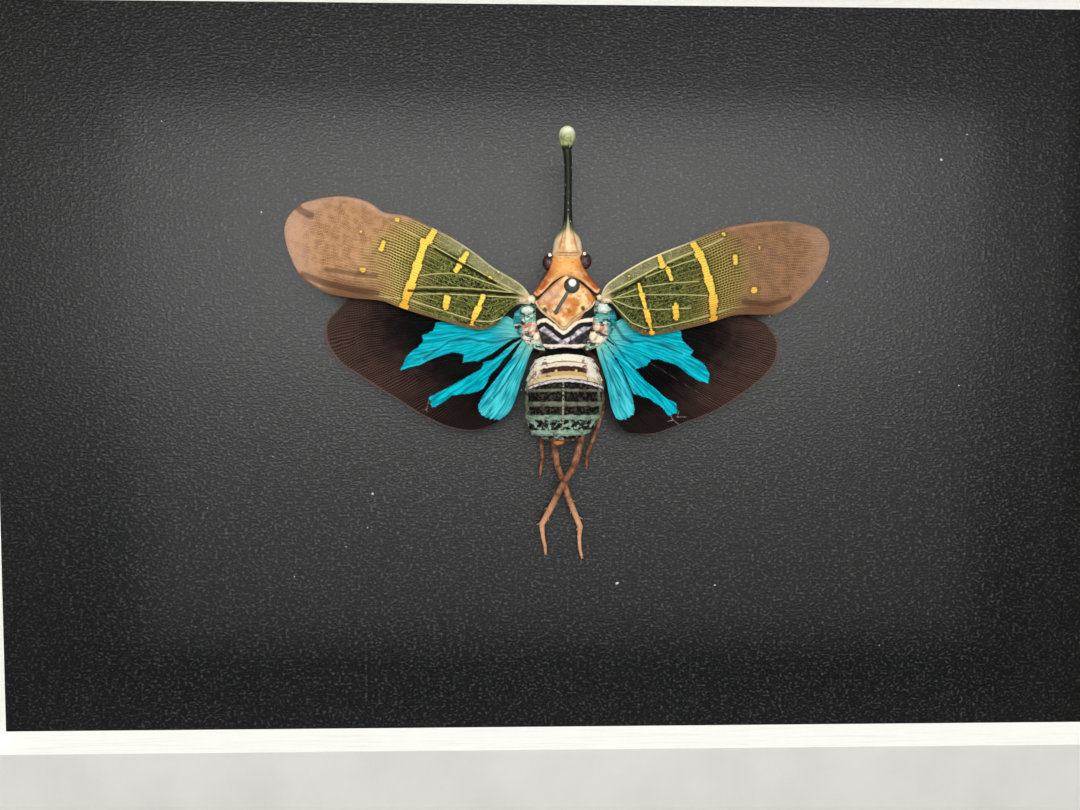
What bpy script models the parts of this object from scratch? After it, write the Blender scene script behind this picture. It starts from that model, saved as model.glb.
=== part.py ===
"""A lanternfly, spread and pinned on black card in a wooden box frame behind a bevelled window mat.

Metres, +Z up. The frame stands on its lower rail with its front towards -Y, and the origin is at the
bottom centre of the whole. The insect is laid out in millimetres: u to the right and v up from the
middle of the mat's window, and w out of the board towards the pane.
"""

import math
from dataclasses import dataclass

import bmesh
import bpy
import numpy as np
from mathutils import Vector

MM = 0.001
GAP = 0.3  # clear space between pieces that touch on the real object, in millimetres

# The sheets inside the frame, a 7 by 5 inch format, and the mat's window
SHEET_WIDTH, SHEET_HEIGHT = 178.0, 127.0
WINDOW_WIDTH, WINDOW_HEIGHT = 139.7, 88.9
MAT_THICKNESS = 2.0
PANE_THICKNESS = 2.0
SPACER_DEPTH, SPACER_WIDTH = 18.0, 6.0
BOARD_THICKNESS = 7.0
BACK_THICKNESS = 2.5

# The rails' section
RAIL_WIDTH = 18.0
LIP_WIDTH, LIP_THICKNESS = 6.0, 4.0
REBATE_PLAY = 0.5  # room around the sheets, each side
BACK_RECESS = 3.0  # from the back panel's face to the rails' rear
BUMPER_DEPTH = 2.0
EDGE_RADIUS = 1.5
BEAD_INSET, BEAD_DROP = 11.0, 1.6  # where the face starts to slope to the lip, and by how much
ARC_STEPS = 3

REBATE_INSET = RAIL_WIDTH - LIP_WIDTH
FRAME_WIDTH = SHEET_WIDTH + 2 * (REBATE_PLAY + REBATE_INSET)
FRAME_HEIGHT = SHEET_HEIGHT + 2 * (REBATE_PLAY + REBATE_INSET)
WINDOW_Z = FRAME_HEIGHT / 2

# The stack of sheets from front to back, as depths behind the rails' front face
PANE_FRONT = LIP_THICKNESS + GAP
MAT_FRONT = PANE_FRONT + PANE_THICKNESS + GAP
SPACER_FRONT = MAT_FRONT + MAT_THICKNESS + GAP
BOARD_FRONT = SPACER_FRONT + SPACER_DEPTH + GAP
BACK_FRONT = BOARD_FRONT + BOARD_THICKNESS + GAP
POINT_FRONT = BACK_FRONT + BACK_THICKNESS + GAP
RAIL_DEPTH = BACK_FRONT + BACK_THICKNESS + BACK_RECESS
FRONT_Y = -(RAIL_DEPTH + BUMPER_DEPTH) / 2
REAR_Y = FRONT_Y + RAIL_DEPTH
BOARD_Y = FRONT_Y + BOARD_FRONT

# Small steel and rubber parts
POINT_LENGTH, POINT_WIDTH, POINT_THICKNESS = 10.0, 6.0, 0.5
POINT_BITE = 4.0  # how far a point goes into the rail
POINT_OFFSET = 45.0
HANGER_LENGTH, HANGER_HEIGHT, HANGER_THICKNESS = 46.0, 7.0, 0.8
HANGER_TEETH, HANGER_TOOTH = 11, 1.4
HANGER_BOW = 0.6
NAIL_SPACING, NAIL_RADIUS, NAIL_HEAD_RADIUS, NAIL_HEAD = 40.0, 0.6, 1.6, 0.4
NAIL_LENGTH = 7.0
BUMPER_RADIUS = 4.0
ROUND_SIDES = 16

# The pin leans: it stands in the board, passes through the thorax and ends in a ball
PIN_ENTRY = (-1.4, 8.2, 10.8)  # where it goes into the top of the thorax
PIN_BALL = (0.1, 10.6, 18.6)
PIN_RADIUS, PIN_BALL_RADIUS, PIN_POINT = 0.22, 1.0, 1.2
PIN_DEPTH = 5.0  # into the board

# Wings
FOREWING_CELLS = (18, 8)
HINDWING_CELLS = (11, 18)
WING_THICKNESS = 0.35
HIND_PLEATS, PLEAT_HEIGHT = 9, 0.2

# The body's cross-sections, each a station: v, middle u, middle w, half width, half height
BODY_SIDES = 14
HEAD_STATIONS = (
    (14.6, 0.0, 8.3, 1.2, 1.2),
    (15.3, 0.1, 8.4, 2.1, 1.9),
    (16.6, 0.1, 8.6, 2.0, 1.9),
    (18.1, 0.1, 8.9, 1.7, 1.5),
    (18.9, 0.1, 9.2, 1.1, 1.1),
    (19.8, 0.0, 9.5, 0.75, 0.8),
    (21.5, 0.1, 9.7, 0.58, 0.6),
    (25.3, 0.1, 10.2, 0.52, 0.55),
    (28.3, 0.0, 10.7, 0.56, 0.58),
    (29.2, -0.1, 10.8, 0.62, 0.62),
    (29.8, -0.1, 10.9, 0.92, 0.9),
    (30.6, -0.1, 11.0, 1.1, 1.08),
    (31.4, -0.1, 11.1, 1.05, 1.0),
    (31.9, -0.1, 11.2, 0.75, 0.7),
    (32.2, -0.1, 11.2, 0.3, 0.3),
)
EYE_RADIUS = 0.85
EYES = ((-2.5, 14.9, 8.7), (2.6, 15.0, 8.7))
THORAX_STATIONS = (
    (14.1, -0.1, 8.3, 1.2, 1.1),
    (13.4, -0.1, 8.2, 2.1, 1.9),
    (12.2, -0.1, 7.9, 3.1, 2.7),
    (10.8, 0.0, 7.6, 4.4, 3.1),
    (9.6, -0.1, 7.6, 4.3, 3.3),
    (8.0, -0.2, 7.6, 3.9, 3.4),
    (6.0, -0.3, 7.4, 3.8, 3.2),
    (4.6, -0.3, 7.2, 3.8, 2.9),
    (3.6, -0.3, 7.0, 3.3, 2.2),
)
ABDOMEN_STATIONS = (
    (3.1, -0.3, 7.0, 1.6, 1.2),
    (2.4, -0.2, 7.0, 3.1, 2.2),
    (1.2, -0.2, 7.0, 4.2, 2.6),
    (-1.0, -0.2, 7.0, 5.1, 2.8),
    (-1.2, -0.2, 7.0, 4.95, 2.65),
    (-2.7, -0.2, 7.0, 5.35, 2.8),
    (-2.9, -0.2, 7.0, 5.2, 2.65),
    (-4.3, -0.2, 7.0, 5.35, 2.7),
    (-4.5, -0.3, 7.0, 5.2, 2.55),
    (-6.4, -0.4, 6.9, 5.1, 2.4),
    (-6.6, -0.5, 6.9, 4.95, 2.3),
    (-8.3, -0.7, 6.8, 3.9, 1.8),
    (-8.5, -0.7, 6.8, 3.6, 1.6),
    (-9.5, -1.0, 6.6, 1.9, 1.1),
    (-10.2, -0.9, 6.5, 0.8, 0.6),
)

# Each leg from its root under the thorax to its foot on the board: u, v, w and radius
LEG_SIDES = 6
LEGS = {
    "hind_leg_right": (
        (2.0, 2.2, 3.3, 0.45),
        (2.5, -5.5, 3.3, 0.4),
        (2.4, -8.6, 4.0, 0.45),
        (2.2, -10.0, 4.7, 0.55),
        (1.3, -13.3, 4.7, 0.5),
        (0.0, -15.4, 4.3, 0.5),
        (-0.9, -17.3, 3.5, 0.5),
        (-2.1, -19.9, 2.6, 0.5),
        (-3.2, -22.1, 1.8, 0.42),
        (-3.0, -24.1, 1.3, 0.32),
        (-2.7, -25.4, 1.0, 0.3),
        (-2.6, -26.5, 0.8, 0.25),
    ),
    "hind_leg_left": (
        (-1.5, 2.2, 3.3, 0.45),
        (-1.7, -5.5, 3.3, 0.4),
        (-1.4, -10.7, 3.6, 0.5),
        (-1.0, -13.4, 2.9, 0.5),
        (-0.2, -15.5, 2.5, 0.5),
        (0.6, -17.9, 2.2, 0.5),
        (1.4, -20.0, 1.8, 0.48),
        (2.4, -22.5, 1.4, 0.42),
        (2.3, -24.1, 1.0, 0.32),
        (2.4, -25.8, 0.8, 0.3),
        (2.7, -27.1, 0.7, 0.25),
    ),
    "middle_leg_left": (
        (-1.9, 4.6, 3.4, 0.4),
        (-4.6, 0.5, 2.6, 0.4),
        (-4.2, -4.0, 2.4, 0.32),
        (-3.3, -9.6, 2.3, 0.32),
        (-3.1, -12.6, 1.8, 0.28),
        (-3.5, -15.3, 1.0, 0.2),
    ),
    "middle_leg_right": (
        (1.9, 4.6, 3.4, 0.4),
        (5.4, 0.5, 2.8, 0.4),
        (5.5, -5.4, 3.0, 0.32),
        (4.7, -8.1, 2.8, 0.32),
        (3.9, -10.3, 2.4, 0.3),
        (3.3, -12.0, 2.0, 0.28),
        (3.3, -13.8, 1.4, 0.2),
    ),
    "front_leg_left": (
        (-1.3, 10.4, 3.4, 0.4),
        (-2.4, 11.6, 2.4, 0.36),
        (-2.0, 8.6, 1.6, 0.3),
        (-1.2, 5.4, 1.0, 0.22),
    ),
    "front_leg_right": (
        (1.3, 10.4, 3.4, 0.4),
        (2.4, 11.6, 2.4, 0.36),
        (2.0, 8.6, 1.6, 0.3),
        (1.4, 5.4, 1.0, 0.22),
    ),
}


@dataclass(frozen=True)
class Wing:
    """One wing as four edges in (u, v), a height at its root, middle and tip, and its number of folds.

    The outer edge runs from the end of the front edge to the end of the rear edge, whose end points
    it shares, so it lists only the points between them.
    """

    front: tuple
    outer: tuple
    rear: tuple
    heights: tuple
    camber: float
    pleats: int = 0


LEFT_FOREWING = Wing(
    front=(
        (-4.9, 10.1),
        (-6.3, 11.9),
        (-9.9, 14.1),
        (-13.0, 16.5),
        (-16.8, 18.8),
        (-21.5, 21.0),
        (-24.6, 21.6),
        (-27.0, 23.1),
        (-30.2, 23.8),
        (-33.5, 23.8),
    ),
    outer=((-36.4, 22.8), (-38.3, 20.5), (-38.4, 18.0), (-37.4, 14.9)),
    rear=(
        (-5.0, 9.0),
        (-6.4, 9.2),
        (-7.8, 8.3),
        (-9.5, 6.5),
        (-11.0, 5.8),
        (-13.0, 5.9),
        (-17.0, 7.0),
        (-22.5, 8.7),
        (-25.3, 9.7),
        (-29.5, 10.1),
        (-33.2, 11.0),
        (-36.2, 12.9),
    ),
    heights=(8.3, 7.5, 6.5),
    camber=0.5,
)
RIGHT_FOREWING = Wing(
    front=(
        (4.7, 10.3),
        (5.6, 12.0),
        (8.9, 14.2),
        (12.3, 15.9),
        (17.3, 17.9),
        (20.9, 19.5),
        (25.0, 20.4),
        (28.5, 20.8),
        (32.4, 20.7),
    ),
    outer=((35.2, 19.8), (36.6, 17.9), (36.2, 15.0), (34.6, 12.3)),
    rear=(
        (4.8, 9.2),
        (6.0, 9.3),
        (7.8, 7.2),
        (9.2, 5.8),
        (10.9, 5.0),
        (13.5, 5.3),
        (18.8, 6.5),
        (23.3, 7.8),
        (27.2, 7.9),
        (29.5, 8.1),
        (32.0, 9.5),
    ),
    heights=(8.3, 7.5, 6.5),
    camber=0.5,
)
LEFT_HINDWING = Wing(
    front=(
        (-4.7, 5.5),
        (-10.0, 8.6),
        (-16.0, 10.4),
        (-22.0, 11.6),
        (-26.5, 11.6),
        (-29.9, 10.4),
    ),
    outer=(
        (-31.9, 8.4),
        (-33.3, 6.5),
        (-33.2, 4.0),
        (-31.5, 1.3),
        (-28.4, -0.8),
        (-24.2, -3.5),
        (-20.0, -6.1),
        (-16.2, -7.8),
        (-12.6, -8.2),
    ),
    rear=(
        (-4.5, 3.7),
        (-5.0, 2.2),
        (-5.7, 0.1),
        (-6.4, -2.0),
        (-7.1, -4.2),
        (-8.0, -5.8),
        (-9.6, -7.1),
    ),
    heights=(7.3, 6.2, 5.0),
    camber=0.3,
    pleats=HIND_PLEATS,
)
RIGHT_HINDWING = Wing(
    front=(
        (4.5, 5.3),
        (9.5, 8.2),
        (14.5, 9.4),
        (19.0, 9.2),
        (22.5, 8.2),
        (25.4, 7.8),
        (27.2, 7.3),
    ),
    outer=(
        (28.6, 6.4),
        (29.8, 4.6),
        (30.0, 2.4),
        (28.9, 0.2),
        (26.1, -2.4),
        (21.5, -5.4),
        (16.9, -7.2),
        (12.7, -8.7),
    ),
    rear=(
        (4.3, 3.6),
        (4.5, 2.0),
        (5.1, 0.4),
        (5.7, -1.6),
        (6.1, -3.5),
        (6.6, -5.4),
        (7.8, -7.6),
        (9.4, -8.7),
    ),
    heights=(7.3, 6.2, 5.0),
    camber=0.3,
    pleats=HIND_PLEATS,
)


def clear_scene():
    for each in list(bpy.data.objects):
        bpy.data.objects.remove(each, do_unlink=True)


def finish(name, colour, roughness, metallic=0.0, alpha=1.0):
    """A plain material in the colour that the piece has."""
    made = bpy.data.materials.new(name)
    made.use_nodes = True
    shader = made.node_tree.nodes["Principled BSDF"]
    shader.inputs["Base Color"].default_value = (*colour, 1.0)
    shader.inputs["Roughness"].default_value = roughness
    shader.inputs["Metallic"].default_value = metallic
    shader.inputs["Alpha"].default_value = alpha
    return made


def solid(name, points, faces, material, smooth=False):
    """An object from points in millimetres, with its faces turned outwards."""
    mesh = bpy.data.meshes.new(name)
    mesh.from_pydata((np.asarray(points, float) * MM).tolist(), [], faces)
    work = bmesh.new()
    work.from_mesh(mesh)
    bmesh.ops.recalc_face_normals(work, faces=work.faces)
    work.to_mesh(mesh)
    work.free()
    mesh.materials.append(material)
    if smooth:
        mesh.shade_smooth()
        mesh.set_sharp_from_angle(angle=math.radians(45))
    made = bpy.data.objects.new(name, mesh)
    bpy.context.collection.objects.link(made)
    return made


def block(name, low, high, material):
    """A box between two opposite corners."""
    corners = [(x, y, z) for x in (low[0], high[0]) for y in (low[1], high[1]) for z in (low[2], high[2])]
    faces = [(0, 1, 3, 2), (4, 6, 7, 5), (0, 4, 5, 1), (2, 3, 7, 6), (0, 2, 6, 4), (1, 5, 7, 3)]
    return solid(name, corners, faces, material)


def loft(name, rings, material, smooth=True):
    """A closed solid through rings that have the same number of points."""
    count = len(rings[0])
    faces = [tuple(range(count)), tuple(len(rings) * count - 1 - i for i in range(count))]
    for ring in range(len(rings) - 1):
        for side in range(count):
            after = (side + 1) % count
            low, high = ring * count, (ring + 1) * count
            faces.append((low + side, low + after, high + after, high + side))
    return solid(name, np.vstack(rings), faces, material, smooth)


def turned(name, profile, origin, axis, material, sides=ROUND_SIDES):
    """A turned solid: its profile is (distance along the axis, radius)."""
    axis = Vector(axis).normalized()
    across = axis.orthogonal().normalized()
    other = axis.cross(across)
    rings = []
    for distance, radius in profile:
        centre = Vector(origin) + axis * distance
        turns = [2 * math.pi * side / sides for side in range(sides)]
        rings.append([centre + radius * (math.cos(a) * across + math.sin(a) * other) for a in turns])
    return loft(name, [np.array(ring) for ring in rings], material)


def combine(target, tool, operation):
    """Joins or cuts the target with a hidden tool."""
    modifier = target.modifiers.new(operation.lower(), "BOOLEAN")
    modifier.operation = operation
    modifier.object = tool
    modifier.solver = "EXACT"
    tool.hide_render = True
    tool.display_type = "WIRE"


def arc(centre, radius, start, end):
    """Points on an arc, with its angles in degrees."""
    turns = [math.radians(start + (end - start) * step / ARC_STEPS) for step in range(ARC_STEPS + 1)]
    return [(centre[0] + radius * math.cos(a), centre[1] + radius * math.sin(a)) for a in turns]


def in_frame(u, v, w):
    """A point of the insect's layout as x, y, z in millimetres."""
    return (u, BOARD_Y - w, WINDOW_Z + v)


def smooth_curve(points, count):
    """Points evenly spaced by length along the smooth curve through the given ones."""
    points = np.asarray(points, float)
    padded = np.vstack([2 * points[0] - points[1], points, 2 * points[-1] - points[-2]])
    t = np.linspace(0, 1, 12, endpoint=False)[:, None]
    runs = []
    for a, b, c, d in zip(padded, padded[1:], padded[2:], padded[3:]):
        cubic = 2 * b + (c - a) * t + (2 * a - 5 * b + 4 * c - d) * t**2 + (3 * b - a - 3 * c + d) * t**3
        runs.append(cubic / 2)
    fine = np.vstack(runs + [points[-1:]])
    steps = np.linalg.norm(np.diff(fine, axis=0), axis=1)
    length = np.concatenate([[0.0], np.cumsum(steps)])
    at = np.linspace(0, length[-1], count)
    return np.stack([np.interp(at, length, column) for column in fine.T], axis=1)


def rail_section():
    """The rail's section as (inset from the outer edge, depth behind the front face)."""
    face = BEAD_INSET
    return [
        (0.0, RAIL_DEPTH),
        *arc((EDGE_RADIUS, EDGE_RADIUS), EDGE_RADIUS, 180, 270),
        (face, 0.0),
        *arc((RAIL_WIDTH - EDGE_RADIUS, BEAD_DROP + EDGE_RADIUS / 2), EDGE_RADIUS / 2, 270, 360),
        (RAIL_WIDTH, LIP_THICKNESS),
        (REBATE_INSET, LIP_THICKNESS),
        (REBATE_INSET, RAIL_DEPTH),
    ]


def make_rail(name, run, inward, half_run, half_across, material):
    """A mitred rail. run and inward are directions in (x, z)."""
    mitre = GAP / math.sqrt(2)
    rings = []
    for end in (-1, 1):
        ring = []
        for inset, depth in rail_section():
            along = end * (half_run - inset - mitre)
            across = inset - half_across
            x = run[0] * along + inward[0] * across
            z = WINDOW_Z + run[1] * along + inward[1] * across
            ring.append((x, FRONT_Y + depth, z))
        rings.append(np.array(ring))
    return loft(name, rings, material)


def make_rails(material):
    half_width, half_height = FRAME_WIDTH / 2, FRAME_HEIGHT / 2
    return {
        "bottom": make_rail("rail_bottom", (1, 0), (0, 1), half_width, half_height, material),
        "right": make_rail("rail_right", (0, 1), (-1, 0), half_height, half_width, material),
        "top": make_rail("rail_top", (-1, 0), (0, -1), half_width, half_height, material),
        "left": make_rail("rail_left", (0, -1), (1, 0), half_height, half_width, material),
    }


def sheet(name, front, thickness, material):
    """A full-size sheet in the stack, at its depth behind the rails' front face."""
    low = (-SHEET_WIDTH / 2, FRONT_Y + front, WINDOW_Z - SHEET_HEIGHT / 2)
    high = (SHEET_WIDTH / 2, FRONT_Y + front + thickness, WINDOW_Z + SHEET_HEIGHT / 2)
    return block(name, low, high, material)


def make_mat(material):
    """The window is cut at 45 degrees, so it is larger in front by the mat's thickness on each side."""
    rings = []
    for half_width, half_height, depth in (
        (SHEET_WIDTH / 2, SHEET_HEIGHT / 2, MAT_FRONT),
        (WINDOW_WIDTH / 2 + MAT_THICKNESS, WINDOW_HEIGHT / 2 + MAT_THICKNESS, MAT_FRONT),
        (WINDOW_WIDTH / 2, WINDOW_HEIGHT / 2, MAT_FRONT + MAT_THICKNESS),
        (SHEET_WIDTH / 2, SHEET_HEIGHT / 2, MAT_FRONT + MAT_THICKNESS),
    ):
        corners = ((-1, -1), (1, -1), (1, 1), (-1, 1))
        rings.append([(half_width * x, FRONT_Y + depth, WINDOW_Z + half_height * z) for x, z in corners])
    faces = []
    for ring in range(4):
        for side in range(4):
            after, next_ring = (side + 1) % 4, (ring + 1) % 4
            faces.append((4 * ring + side, 4 * ring + after, 4 * next_ring + after, 4 * next_ring + side))
    return solid("window_mat", np.vstack(rings), faces, material)


def make_spacers(material):
    """Foam-board strips hidden behind the mat: two the full width and two between them."""
    outer_x, outer_z = SHEET_WIDTH / 2, SHEET_HEIGHT / 2
    inner_x, inner_z = outer_x - SPACER_WIDTH, outer_z - SPACER_WIDTH
    between = inner_z - GAP
    strips = {
        "spacer_top": (-outer_x, outer_x, inner_z, outer_z),
        "spacer_bottom": (-outer_x, outer_x, -outer_z, -inner_z),
        "spacer_left": (-outer_x, -inner_x, -between, between),
        "spacer_right": (inner_x, outer_x, -between, between),
    }
    front = FRONT_Y + SPACER_FRONT
    for name, (left, right, bottom, top) in strips.items():
        low = (left, front, WINDOW_Z + bottom)
        block(name, low, (right, front + SPACER_DEPTH, WINDOW_Z + top), material)


def make_points(rails, material):
    """Steel tabs pressed into slots in the rails, which hold the back panel in."""
    half_x = FRAME_WIDTH / 2 - REBATE_INSET
    half_z = FRAME_HEIGHT / 2 - REBATE_INSET
    places = (
        ("top", -POINT_OFFSET, half_z, (0, 1)),
        ("top", POINT_OFFSET, half_z, (0, 1)),
        ("bottom", -POINT_OFFSET, -half_z, (0, -1)),
        ("bottom", POINT_OFFSET, -half_z, (0, -1)),
        ("left", -half_x, 0.0, (-1, 0)),
        ("right", half_x, 0.0, (1, 0)),
    )
    front = FRONT_Y + POINT_FRONT
    for number, (side, x, z, outward) in enumerate(places, 1):
        name = f"framer_point_{number}"
        for made_name, grown in ((name, 0.0), (f"{name}_slot", GAP)):
            half_side = POINT_WIDTH / 2 + grown
            ends = (POINT_BITE + grown, POINT_BITE - POINT_LENGTH - grown)
            spans = [sorted(end * way for end in ends) if way else (-half_side, half_side) for way in outward]
            low = (x + spans[0][0], front - grown, WINDOW_Z + z + spans[1][0])
            high = (x + spans[0][1], front + POINT_THICKNESS + grown, WINDOW_Z + z + spans[1][1])
            made = block(made_name, low, high, material)
            if grown:
                combine(rails[side], made, "DIFFERENCE")


def make_hanger(rail_top, material):
    """A strip with a toothed lower edge, bowed off the rail in its middle and nailed at its ends."""
    middle_z = FRAME_HEIGHT - REBATE_INSET / 2
    columns = 2 * (HANGER_TEETH + 2) + 1
    back = REAR_Y + GAP
    toothed = HANGER_LENGTH * HANGER_TEETH / (HANGER_TEETH + 2) / 2
    rings = []
    for column in range(columns):
        x = HANGER_LENGTH * (column / (columns - 1) - 0.5)
        near_middle = max(0.0, 1 - abs(x) / toothed)
        bow = HANGER_BOW * min(1.0, 4 * near_middle)
        bottom = middle_z - HANGER_HEIGHT / 2
        if column % 2 and abs(x) < toothed:
            bottom += HANGER_TOOTH
        top = middle_z + HANGER_HEIGHT / 2
        front, rear = back + bow, back + bow + HANGER_THICKNESS
        rings.append(np.array([(x, front, bottom), (x, rear, bottom), (x, rear, top), (x, front, top)]))
    hanger = loft("sawtooth_hanger", rings, material, smooth=False)
    head_back = back + HANGER_THICKNESS + GAP
    for side, x in (("left", -NAIL_SPACING / 2), ("right", NAIL_SPACING / 2)):
        start = (x, head_back - NAIL_LENGTH, middle_z)
        profile = (
            (0.0, 0.1),
            (1.0, NAIL_RADIUS),
            (NAIL_LENGTH, NAIL_RADIUS),
            (NAIL_LENGTH, NAIL_HEAD_RADIUS),
            (NAIL_LENGTH + NAIL_HEAD, NAIL_HEAD_RADIUS),
        )
        turned(f"hanger_nail_{side}", profile, start, (0, 1, 0), material, sides=12)
        bore = ((-GAP, NAIL_RADIUS + GAP), (NAIL_LENGTH + 1, NAIL_RADIUS + GAP))
        hole = turned(f"hanger_nail_{side}_hole", bore, start, (0, 1, 0), material, sides=12)
        combine(rail_top, hole, "DIFFERENCE")
        combine(hanger, hole, "DIFFERENCE")


def make_bumpers(material):
    """Rubber discs at the lower rear corners, which keep the frame upright against a wall."""
    inset = REBATE_INSET / 2
    thickness = BUMPER_DEPTH - GAP
    profile = ((0.0, BUMPER_RADIUS), (thickness * 0.6, BUMPER_RADIUS), (thickness, BUMPER_RADIUS * 0.75))
    for side, x in (("left", inset - FRAME_WIDTH / 2), ("right", FRAME_WIDTH / 2 - inset)):
        turned(f"wall_bumper_{side}", profile, (x, REAR_Y + GAP, inset), (0, 1, 0), material)


def body(name, stations, material):
    """A body part through its elliptical stations."""
    turns = [2 * math.pi * side / BODY_SIDES for side in range(BODY_SIDES)]
    rings = []
    for v, u, w, half_width, half_height in stations:
        ring = [in_frame(u + half_width * math.cos(a), v, w + half_height * math.sin(a)) for a in turns]
        rings.append(np.array(ring))
    return loft(name, rings, material)


def make_head(material):
    """The head with its snout and bulb, and the two eyes joined to it."""
    head = body("head", HEAD_STATIONS, material)
    for side, centre in zip(("left", "right"), EYES):
        turns = [math.pi * (0.05 + 0.9 * step / 6) for step in range(7)]
        profile = [(-EYE_RADIUS * math.cos(a), EYE_RADIUS * math.sin(a)) for a in turns]
        eye = turned(f"eye_{side}", profile, in_frame(*centre), (1, 0, 0), material, sides=10)
        combine(head, eye, "UNION")
    return head


def wing_grid(wing, cells):
    """The wing's surface as a grid of (u, v, w), from the root along its length and front to rear.

    The inside is blended from the four edges, so the grid's lines run as the veins do.
    """
    along, across = cells
    s = np.linspace(0, 1, along + 1)[:, None, None]
    t = np.linspace(0, 1, across + 1)[None, :, None]
    front = smooth_curve(wing.front, along + 1)[:, None]
    rear = smooth_curve(wing.rear, along + 1)[:, None]
    root = np.linspace(wing.front[0], wing.rear[0], across + 1)[None]
    outer = smooth_curve((wing.front[-1], *wing.outer, wing.rear[-1]), across + 1)[None]
    corners = (1 - s) * ((1 - t) * front[:1] + t * rear[:1]) + s * ((1 - t) * front[-1:] + t * rear[-1:])
    flat = (1 - t) * front + t * rear + (1 - s) * root + s * outer - corners
    height = np.interp(s[..., 0], (0, 0.5, 1), wing.heights)
    height = height + wing.camber * np.sin(math.pi * t[..., 0]) * np.sin(math.pi * s[..., 0])
    folds = PLEAT_HEIGHT * np.cos(2 * math.pi * wing.pleats * t[..., 0]) * np.minimum(1, 2 * s[..., 0])
    if wing.pleats:
        height = height + folds
    return np.concatenate([flat, height[..., None]], axis=2)


def make_wing(name, wing, cells, material):
    """A thin closed sheet over the wing's grid."""
    grid = wing_grid(wing, cells)
    rows, columns = grid.shape[:2]
    sheets = []
    for side in (0.5, -0.5):
        for u, v, w in grid.reshape(-1, 3):
            sheets.append(in_frame(u, v, w + side * WING_THICKNESS))
    under = rows * columns
    faces = []
    for row in range(rows - 1):
        for column in range(columns - 1):
            a = row * columns + column
            quad = (a, a + 1, a + columns + 1, a + columns)
            faces.append(quad)
            faces.append(tuple(under + corner for corner in reversed(quad)))
    rim = [column for column in range(columns)]
    rim += [row * columns + columns - 1 for row in range(1, rows)]
    rim += [(rows - 1) * columns + column for column in range(columns - 2, -1, -1)]
    rim += [row * columns for row in range(rows - 2, 0, -1)]
    for start, end in zip(rim, rim[1:] + rim[:1]):
        faces.append((start, end, under + end, under + start))
    return solid(name, sheets, faces, material, smooth=True)


def make_leg(name, stations, material):
    """A six-sided tube through the leg's joints."""
    points = [Vector(in_frame(u, v, w)) for u, v, w, _ in stations]
    rings = []
    for place, (point, station) in enumerate(zip(points, stations)):
        before, after = points[max(place - 1, 0)], points[min(place + 1, len(points) - 1)]
        along = (after - before).normalized()
        side = along.cross(Vector((0, 1, 0))).normalized()
        up = side.cross(along)
        radius = station[3]
        turns = [2 * math.pi * corner / LEG_SIDES for corner in range(LEG_SIDES)]
        rings.append(np.array([point + radius * (math.cos(a) * side + math.sin(a) * up) for a in turns]))
    return loft(name, rings, material)


def make_pin(thorax, board, material):
    """The ball-headed pin, and the holes that it leaves in the thorax and the board."""
    entry, ball = Vector(in_frame(*PIN_ENTRY)), Vector(in_frame(*PIN_BALL))
    axis = (ball - entry).normalized()
    into_board = (BOARD_Y + PIN_DEPTH - ball.y) / -axis.y
    tip = ball - axis * into_board
    turns = [math.radians(angle) for angle in (165, 140, 115, 90, 65, 40, 15)]
    head = [(into_board + PIN_BALL_RADIUS * math.cos(a), PIN_BALL_RADIUS * math.sin(a)) for a in turns]
    profile = [(0.0, 0.03), (PIN_POINT, PIN_RADIUS), (head[0][0] - 0.1, PIN_RADIUS), *head]
    turned("pin", profile, tip, axis, material, sides=10)
    bore_radius = PIN_RADIUS + GAP
    entry_distance = (entry - tip).length
    bores = (
        (thorax, "thorax_pin_hole", entry_distance - 9.0, entry_distance + 2.0),
        (board, "board_pin_hole", -GAP, PIN_DEPTH + 2.0),
    )
    for target, name, start, end in bores:
        bore = turned(name, ((start, bore_radius), (end, bore_radius)), tip, axis, material, sides=10)
        combine(target, bore, "DIFFERENCE")


def make_insect(board):
    chitin = finish("tan_chitin", (0.42, 0.2, 0.07), 0.5)
    dark = finish("black_chitin", (0.03, 0.03, 0.03), 0.5)
    snout = finish("green_black_chitin", (0.05, 0.07, 0.04), 0.35)
    green = finish("green_membrane", (0.06, 0.13, 0.03), 0.45)
    blue = finish("blue_membrane", (0.02, 0.2, 0.28), 0.45)
    steel = finish("pin_steel", (0.4, 0.42, 0.4), 0.3, metallic=1.0)
    make_head(snout)
    thorax = body("thorax", THORAX_STATIONS, chitin)
    body("abdomen", ABDOMEN_STATIONS, dark)
    make_wing("left_forewing", LEFT_FOREWING, FOREWING_CELLS, green)
    make_wing("right_forewing", RIGHT_FOREWING, FOREWING_CELLS, green)
    make_wing("left_hindwing", LEFT_HINDWING, HINDWING_CELLS, blue)
    make_wing("right_hindwing", RIGHT_HINDWING, HINDWING_CELLS, blue)
    for name, stations in LEGS.items():
        make_leg(name, stations, chitin)
    make_pin(thorax, board, steel)


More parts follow.
